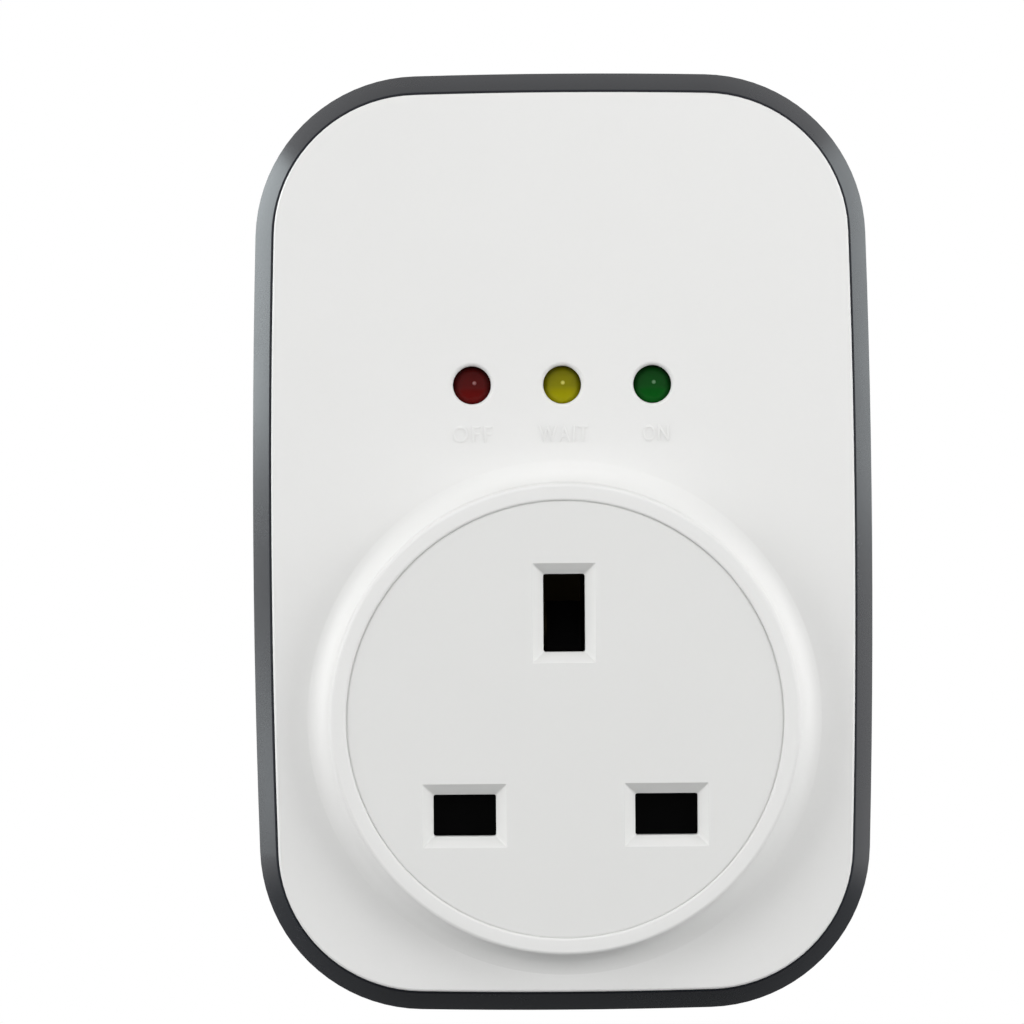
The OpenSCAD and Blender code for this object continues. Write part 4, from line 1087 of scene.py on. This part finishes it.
class PROTECTOR_OT_plug(bpy.types.Operator):
    """Makes the three plug pins and the sleeves of the line pins"""

    bl_idname = "protector.plug"
    bl_label = "Plug pins"

    waist = 0.55

    def ring(self, size, side, shrink, z):
        """A pin's outline, made smaller all round."""
        at, (wide, high) = PINS[side]
        return rounded(at, wide - 2 * shrink, high - 2 * shrink, size.pin_edge, z)

    def sleeve(self, size, side):
        """The sleeve of a line pin, which fills the pin's waist."""
        low, top = 0.05 - size.sleeve, 2.45
        profile = ((self.waist, low), (0.1, low), (0.0, low + 0.1), (0.0, top), (self.waist, top))
        return loft(side + "_pin_sleeve", [self.ring(size, side, *step) for step in profile], closed=True)

    def pin(self, size, side, long, core, tang):
        """One pin from its tip to its tang."""
        at, (wide, high) = PINS[side]
        collar, seat, top, end = 2.6, 2.5, 4.7, 13.0
        waist = self.waist if core else 0.0

        def ring(shrink, z):
            return self.ring(size, side, shrink, z)

        tip = size.tip - long
        rings = [ring(0.95, -long + 0.02), ring(0.82, -long + 0.06), ring(0.1, tip), ring(0.0, tip + 0.25)]
        if core:
            rings += [ring(0.0, -core - 0.03), ring(0.03, -core), ring(waist, -core)]
        rings += [ring(waist, seat)]
        rings += [rounded(at, wide + collar, high + collar, 0.4, z) for z in (seat, top)]
        rings += [rounded(at, tang[0], tang[1], 0.2, z) for z in (top, end - 0.2)]
        rings += [rounded(at, tang[0] - 0.3, tang[1] - 0.3, 0.2, end)]
        return loft(side + "_pin_body", rings)

    def execute(self, context):
        size = Millimetres(context.scene.protector_plug)
        for side, long, core, tang in (
            ("live", size.line_length, size.sleeve, (5.0, 1.6)),
            ("neutral", size.line_length, size.sleeve, (5.0, 1.6)),
            ("earth", size.earth_length, 0.0, (1.6, 5.0)),
        ):
            hand_over(self.pin(size, side, long, core, tang), "pin", "brass", side + "_pin")
            if core:
                hand_over(self.sleeve(size, side), "black", "black_plastic", side + "_sleeve")
        return {"FINISHED"}


class PROTECTOR_OT_screws(bpy.types.Operator):
    """Makes the case, board, socket and clamp screws"""

    bl_idname = "protector.screws"
    bl_label = "Screws"

    def execute(self, context):
        pitch = Millimetres(context.scene.protector_fasteners).pitch
        fine = pitch * 0.75
        group = screw_tree()
        for kind, places, z, flip, shaft, long, head, tall, step in (
            ("case_screw", CASE_SCREWS, CASE_SCREW_SEAT, 1, 1.4, 18.0, 2.8, 2.2, pitch),
            ("base_screw", BASE_SCREWS, 29.8, 1, 1.0, 6.5, 2.1, 1.5, fine),
            ("board_screw", BOARD_SCREWS, BOARD_BACK, 1, 1.0, 6.0, 2.1, 1.5, fine),
            ("clamp_screw", CLAMP_SCREWS, 6.9, -1, 1.0, 4.35, 2.1, 1.5, fine),
        ):
            points = [(x, y * flip, z * flip) for x, y in places]
            piece = grow(kind + "_set", points, [], group, "steel", {
                "Shaft Radius": shaft, "Shaft Length": long, "Head Radius": head, "Head Height": tall,
                "Thread Pitch": step})
            if flip < 0:
                piece.data.transform(Matrix.Rotation(math.pi, 4, "X"))
            hand_over(piece, None, "steel", kind + "s")
        return {"FINISHED"}


class PROTECTOR_OT_spring(bpy.types.Operator):
    """Makes the coil spring that lifts the shutter"""

    bl_idname = "protector.spring"
    bl_label = "Shutter spring"

    def execute(self, context):
        size = Millimetres(context.scene.protector_fasteners)
        wire = size.spring_wire
        ledge, shutter, room = -21.0, -9.215, 0.05
        low = ledge + wire + room
        high = shutter - wire - room
        piece = grow("lift_spring", [(0.0, low, 36.25)], [], spring_tree(), "steel", {
            "Coil Radius": size.spring_coil, "Wire Radius": wire, "Length": high - low,
            "Free Turns": size.group.spring_turns})
        hand_over(piece, None, "steel", "shutter_spring")
        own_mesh(piece)
        return {"FINISHED"}


class PROTECTOR_OT_coil(bpy.types.Operator):
    """Makes the relay's bobbin and its winding"""

    bl_idname = "protector.coil"
    bl_label = "Relay coil"

    def execute(self, context):
        size = Millimetres(context.scene.protector_fasteners)
        at = (RELAY[0] - 0.5, RELAY[1])
        low, high, flange, chamfer = 15.6, 24.8, 0.8, 0.1
        bore, barrel, cheek = 2.85, 6.2, 7.2
        wire = size.winding_wire
        start = low + flange + wire
        piece = grow("coil_winding", [(at[0], at[1], start)], [], winding_tree(), "enamel", {
            "Radius": barrel + 0.4 - wire, "Wire Radius": wire, "Height": high - flange - wire - start,
            "Turns": size.group.winding_turns})
        hand_over(piece, None, "copper", "relay_coil")
        bobbin = turned("coil_bobbin", at, [
            (bore, low), (cheek - chamfer, low), (cheek, low + chamfer),
            (cheek, low + flange - chamfer), (cheek - chamfer, low + flange), (barrel, low + flange),
            (barrel, high - flange), (cheek - chamfer, high - flange), (cheek, high - flange + chamfer),
            (cheek, high - chamfer), (cheek - chamfer, high), (bore, high)], 72, closed=True)
        hand_over(bobbin, "bobbin", "relay_shell", "relay_coil")
        return {"FINISHED"}


class PROTECTOR_OT_wires(bpy.types.Operator):
    """Makes the three wires between the pins, the contacts and the board"""

    bl_idname = "protector.wires"
    bl_label = "Wires"

    def route(self, start, end, shares, steps=9):
        """Straight out of the start, a smooth path, and straight into the board."""
        s, e = Vector(start), Vector(end)
        knots = [s + Vector((0, 3, 0))]
        knots += [Vector([s[i] + (e[i] - s[i]) * q[i] for i in range(3)]) for q in shares]
        knots += [e - Vector((0, 0, 3))]
        path = [s]
        for i in range(len(knots) - 1):
            a, b = knots[max(i - 1, 0)], knots[i]
            c, d = knots[i + 1], knots[min(i + 2, len(knots) - 1)]
            for k in range(steps):
                t = k / steps
                path.append(0.5 * (2 * b + (c - a) * t + (2 * a - 5 * b + 4 * c - d) * t * t
                                   + (3 * b - a - 3 * c + d) * t ** 3))
        return path + [knots[-1], e]

    def execute(self, context):
        group = sleeve_tree()
        for feed, name, start, end, shares, radius, colour in (
            ("live_feed", "live_in", (11.115, -10.315, 10.5), (13.5, 31.5, BOARD_BACK),
             ((0.2, 0.4, 0), (0.5, 0.68, 0.08), (0.9, 0.9, 0.42)), 1.3, "brown"),
            ("live_return", "live_out", (11.115, -10.315, 17.3), (20, 31.5, BOARD_BACK),
             ((0.35, 0.35, 0), (0.7, 0.62, 0), (0.98, 0.92, 0.34)), 1.3, "brown"),
            ("neutral_feed", "neutral", (-11.115, -9.315, 14.5), (-3.5, 31.5, BOARD_BACK),
             ((0, 0.35, 0), (0.25, 0.6, 0.02), (0.85, 0.9, 0.3)), 0.8, "blue"),
        ):
            route = self.route(start, end, shares)
            edges = [(i, i + 1) for i in range(len(route) - 1)]
            piece = grow(feed, [tuple(p) for p in route], edges, group, colour, {"Radius": radius})
            hand_over(piece, None, colour + "_wire", name + "_wire", crease=60)
        return {"FINISHED"}


class PROTECTOR_OT_solder(bpy.types.Operator):
    """Makes the solder joints on the front of the board"""

    bl_idname = "protector.solder"
    bl_label = "Solder joints"

    def execute(self, context):
        places = [(-12.5, RELAY[1] - 9.0), (-12.5, RELAY[1] + 9.0), (13.1, RELAY[1]), (-9.8, RELAY[1])]
        for x, y, apart, up in ((21.5, 44.3, 5.0, 1), (-21.8, 44.0, 2.5, 0), (-14.0, 32.2, 3.75, 0)):
            places += [(x + s * apart * (1 - up), y + s * apart * up) for s in (-1, 1)]
        piece = grow("solder_joints", [(x, y, BOARD_FRONT) for x, y in places], [], solder_tree(), "solder", {
            "Foot": 1.0, "Height": 0.85})
        hand_over(piece, None, "steel")
        return {"FINISHED"}


class PROTECTOR_OT_dress(bpy.types.Operator):
    """Gives the finish of every part that keeps its CAD shape"""

    bl_idname = "protector.dress"
    bl_label = "Finishes of the other parts"

    def execute(self, context):
        # Where the bodies of the components lie
        disc = (-14.0, 21.1, 6.02)
        resistor_x, diode_x, chip_y = 8.5, 2.0, 46.5

        def behind(edge):
            return lambda f: f.beyond(f.axis("z"), edge)

        def band(axis, middle, half):
            return lambda f: f.near(f.axis(axis), middle, half)

        def outside(axis, middle, half):
            return lambda f: f.maths("SUBTRACT", 1.0, f.near(f.axis(axis), middle, half))

        def round_body(f):
            away = f.maths("SQRT", f.reach(f.off("x", disc[0]), f.off("z", disc[1])))
            return f.beyond(away, disc[2])

        rings = [(band("x", resistor_x + off, 0.28), tint) for off, tint in (
            (-1.9, (0.35, 0.05, 0.02)), (-0.8, (0.02, 0.02, 0.02)), (0.3, (0.55, 0.12, 0.01)),
            (1.8, (0.45, 0.30, 0.06)))]
        stripe = [(band("z", 12.7, 0.12), (0.6, 0.6, 0.62))]
        collar = [(band("x", diode_x + 1.4, 0.3), (0.6, 0.6, 0.6))]
        FINISHES.update({
            "film": bodied("film_box", (0.56, 0.42, 0.06), 0.4, behind(BOARD_BACK)),
            "can": bodied("can_sleeve", (0.012, 0.014, 0.03), 0.3, behind(BOARD_BACK), stripe),
            "disc": bodied("disc_coat", (0.012, 0.06, 0.28), 0.35, round_body),
            "chip": bodied("chip_body", (0.02, 0.02, 0.021), 0.5, outside("y", chip_y, 3.16)),
            "resistor": bodied("resistor_coat", (0.52, 0.38, 0.2), 0.35,
                               outside("x", resistor_x, 3.16), rings),
            "diode": bodied("diode_body", (0.02, 0.02, 0.021), 0.35, outside("x", diode_x, 2.11), collar),
        })
        chosen = {
            "socket_base": "shutter", "shutter": "shutter", "pin_clamp": "black", "relay_base": "black",
            "relay_cover": "relay", "relay_yoke": "iron", "relay_armature": "iron",
            "relay_terminals": "brass", "moving_contact": "copper",
            # The contacts take the brass darkened as painted shade for the inside of the slots.
            "live_contact": "shade_darkened", "neutral_contact": "shade_darkened", "earth_contact": "shade_darkened",
            "neutral_link": "brass", "earth_link": "brass", "circuit_board": "board", "lamp_legs": "steel",
            "film_capacitor": "film", "smoothing_capacitor": "can", "varistor": "disc",
            "controller_chip": "chip", "resistors": "resistor", "diodes": "diode",
        }
        for name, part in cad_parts.items():
            if part.hide_render:
                continue
            finish = FINISHES[chosen[name]]
            if not part.material_slots:
                part.data.materials.append(finish)
            for place in part.material_slots:
                place.material = finish
        return {"FINISHED"}


class PROTECTOR_OT_stage(bpy.types.Operator):
    """Makes the floor, the light and the camera"""

    bl_idname = "protector.stage"
    bl_label = "Stage"

    def execute(self, context):
        scene = context.scene
        look = scene.protector_stage
        scene.view_settings.view_transform = "Standard"
        self.floor(scene, look)
        self.world(scene, look)
        aim = Vector((0.0, -0.03, 0.019))
        cool = (0.88, 0.97, 1.0)
        for name, place, size, power in (
            ("key_lamp", (0.10, -0.80, 0.20), (0.07, 0.07), look.key),
            ("low_box", (0.0, -0.70, -0.03), (0.5, 0.1), look.low),
            ("top_box", (-0.04, -0.36, 0.60), (0.7, 0.4), look.top),
            ("left_box", (-0.62, -0.30, 0.06), (0.5, 0.5), look.left_box),
            ("right_box", (0.62, -0.34, 0.08), (0.5, 0.5), look.right_box),
            ("left_lamp", (-0.33, 0.25, 0.135), (0.22, 0.20), look.left),
            ("left_foot_lamp", (-0.36, 0.25, -0.036), (0.14, 0.04), look.left_foot),
            ("right_lamp", (0.33, 0.25, 0.135), (0.2, 0.23), look.right),
        ):
            data = bpy.data.lights.new(name, "AREA")
            data.shape = "RECTANGLE"
            data.size, data.size_y = size
            data.energy = power
            if place[1] > 0:
                data.color = cool
            lamp = bpy.data.objects.new(name, data)
            lamp.visible_glossy = not name.endswith("box")
            scene.collection.objects.link(lamp)
            lamp.location = place
            lamp.rotation_euler = (Vector(place) - aim).to_track_quat("Z", "Y").to_euler()
        self.camera(scene, look)
        return {"FINISHED"}

    def floor(self, scene, look):
        """A pale floor that fades to white away from the object."""
        half = 2.0
        z = -look.floor
        mesh = bpy.data.meshes.new("floor")
        corners = [(-half, -half, z), (half, -half, z), (half, half, z), (-half, half, z)]
        mesh.from_pydata(corners, [], [(0, 1, 2, 3)])
        floor = bpy.data.objects.new("floor", mesh)
        scene.collection.objects.link(floor)
        finish = Finish("floor_paper")
        away = finish.node("ShaderNodeVectorMath", {0: finish.place}, output="Value", operation="LENGTH")
        far = finish.ramp(away, 0.3, 0.56)
        straight = finish.rays("Is Camera Ray", "Is Transmission Ray")
        seen = finish.rays("Is Camera Ray", "Is Transmission Ray", "Is Glossy Ray")
        grain = finish.noise(40.0, 2.0)
        paper = finish.blend(grain, tone(look.floor_tint, 0.99), tone(look.floor_tint, 1.01))
        dim = tone((look.floor_bounce,) * 3, 1.0)
        finish.set(Base_Color=finish.blend(straight, dim, paper), Roughness=0.9, Specular_IOR_Level=0.1)
        glow = finish.node("ShaderNodeEmission", {"Color": (1.0, 1.0, 1.0, 1.0), "Strength": 1.0})
        share = finish.maths("MULTIPLY", far, seen)
        mix = finish.node("ShaderNodeMixShader", {0: share, 1: finish.shader.outputs[0], 2: glow})
        finish.tree.links.new(mix, finish.tree.nodes["Material Output"].inputs["Surface"])
        mesh.materials.append(finish.material)

    def world(self, scene, look):
        """White round the horizon where it is seen, and soft light that comes mostly from above elsewhere."""
        world = bpy.data.worlds.new("studio")
        scene.world = world
        world.use_nodes = True
        world.node_tree.nodes.clear()
        air = Nodes(world.node_tree)
        way = air.node("ShaderNodeTexCoord", output="Generated")
        up = air.node("ShaderNodeSeparateXYZ", {0: way}, 2)
        height = air.node("ShaderNodeMapRange", {"Value": up, "From Min": -1.0})

        def sky(stops, strength):
            shades = air.node("ShaderNodeValToRGB", {0: height})
            ramp = shades.node.color_ramp
            ramp.interpolation = "EASE"
            for k, (level_up, grey) in enumerate(stops):
                at = (level_up + 1) / 2
                stop = ramp.elements[k] if k < 2 else ramp.elements.new(at)
                stop.position = at
                stop.color = (grey, grey, grey, 1.0)
            return air.node("ShaderNodeBackground", {"Color": shades, "Strength": strength})

        soft = sky(((-0.6, 0.10), (1.0, 1.0), (0.0, 0.42), (0.5, 0.85)), look.ambient)
        seen = sky(((-0.65, 0.10), (0.9, 0.8), (-0.2, 1.0), (0.5, 1.0)), 1.0)
        share = air.rays("Is Camera Ray", "Is Glossy Ray", "Is Transmission Ray")
        mix = air.node("ShaderNodeMixShader", {0: share, 1: soft, 2: seen})
        air.node("ShaderNodeOutputWorld", {"Surface": mix}, output=None)

    def camera(self, scene, look):
        """A long lens straight in front, turned by the lean of the view."""
        data = bpy.data.cameras.new("camera")
        data.lens = look.focal
        data.sensor_width = 36.0
        data.clip_start = 0.01
        camera = bpy.data.objects.new("camera", data)
        scene.collection.objects.link(camera)
        c, s = math.cos(look.lean), math.sin(look.lean)
        camera.matrix_world = Matrix((
            (c, s, 0.0, look.across),
            (0.0, 0.0, -1.0, -look.distance),
            (-s, c, 0.0, look.up),
            (0.0, 0.0, 0.0, 1.0)))
        scene.camera = camera


class PROTECTOR_PT_panel(bpy.types.Panel):
    """Lists the pieces of the protector"""

    bl_label = "Voltage Protector"
    bl_idname = "PROTECTOR_PT_panel"
    bl_space_type = "VIEW_3D"
    bl_region_type = "UI"
    bl_category = "Protector"

    def draw(self, context):
        for group in GROUPS:
            box = self.layout.box()
            box.label(text=GROUPS[group].__doc__)
            for key in GROUPS[group].__annotations__:
                box.prop(getattr(context.scene, group), key)
        for step in STEPS:
            self.layout.operator("protector." + step)


GROUPS = {
    "protector_case": CaseSizes,
    "protector_cover": CoverSizes,
    "protector_socket": SocketSizes,
    "protector_plug": PlugSizes,
    "protector_fasteners": FastenerSizes,
    "protector_colours": Colours,
    "protector_stage": StageSettings,
}

OPERATORS = (
    PROTECTOR_OT_case, PROTECTOR_OT_cover, PROTECTOR_OT_letters, PROTECTOR_OT_socket, PROTECTOR_OT_lamps,
    PROTECTOR_OT_plug, PROTECTOR_OT_screws, PROTECTOR_OT_spring, PROTECTOR_OT_coil, PROTECTOR_OT_wires,
    PROTECTOR_OT_solder, PROTECTOR_OT_dress, PROTECTOR_OT_stage,
)

STEPS = tuple(operator.bl_idname.split(".")[1] for operator in OPERATORS)


def register():
    """Registers the settings, the operators and the panel."""
    for group, kind in GROUPS.items():
        bpy.utils.register_class(kind)
        setattr(bpy.types.Scene, group, PointerProperty(type=kind))
    for kind in OPERATORS + (PROTECTOR_PT_panel,):
        bpy.utils.register_class(kind)


def unregister():
    """Takes the classes and the settings away again."""
    for kind in (PROTECTOR_PT_panel,) + OPERATORS[::-1]:
        bpy.utils.unregister_class(kind)
    for group, kind in GROUPS.items():
        delattr(bpy.types.Scene, group)
        bpy.utils.unregister_class(kind)


def main():
    """Registers the add-on and makes the whole model."""
    register()
    make_finishes()
    for step in STEPS:
        getattr(bpy.ops.protector, step)()


if __name__ == "__main__":
    main()
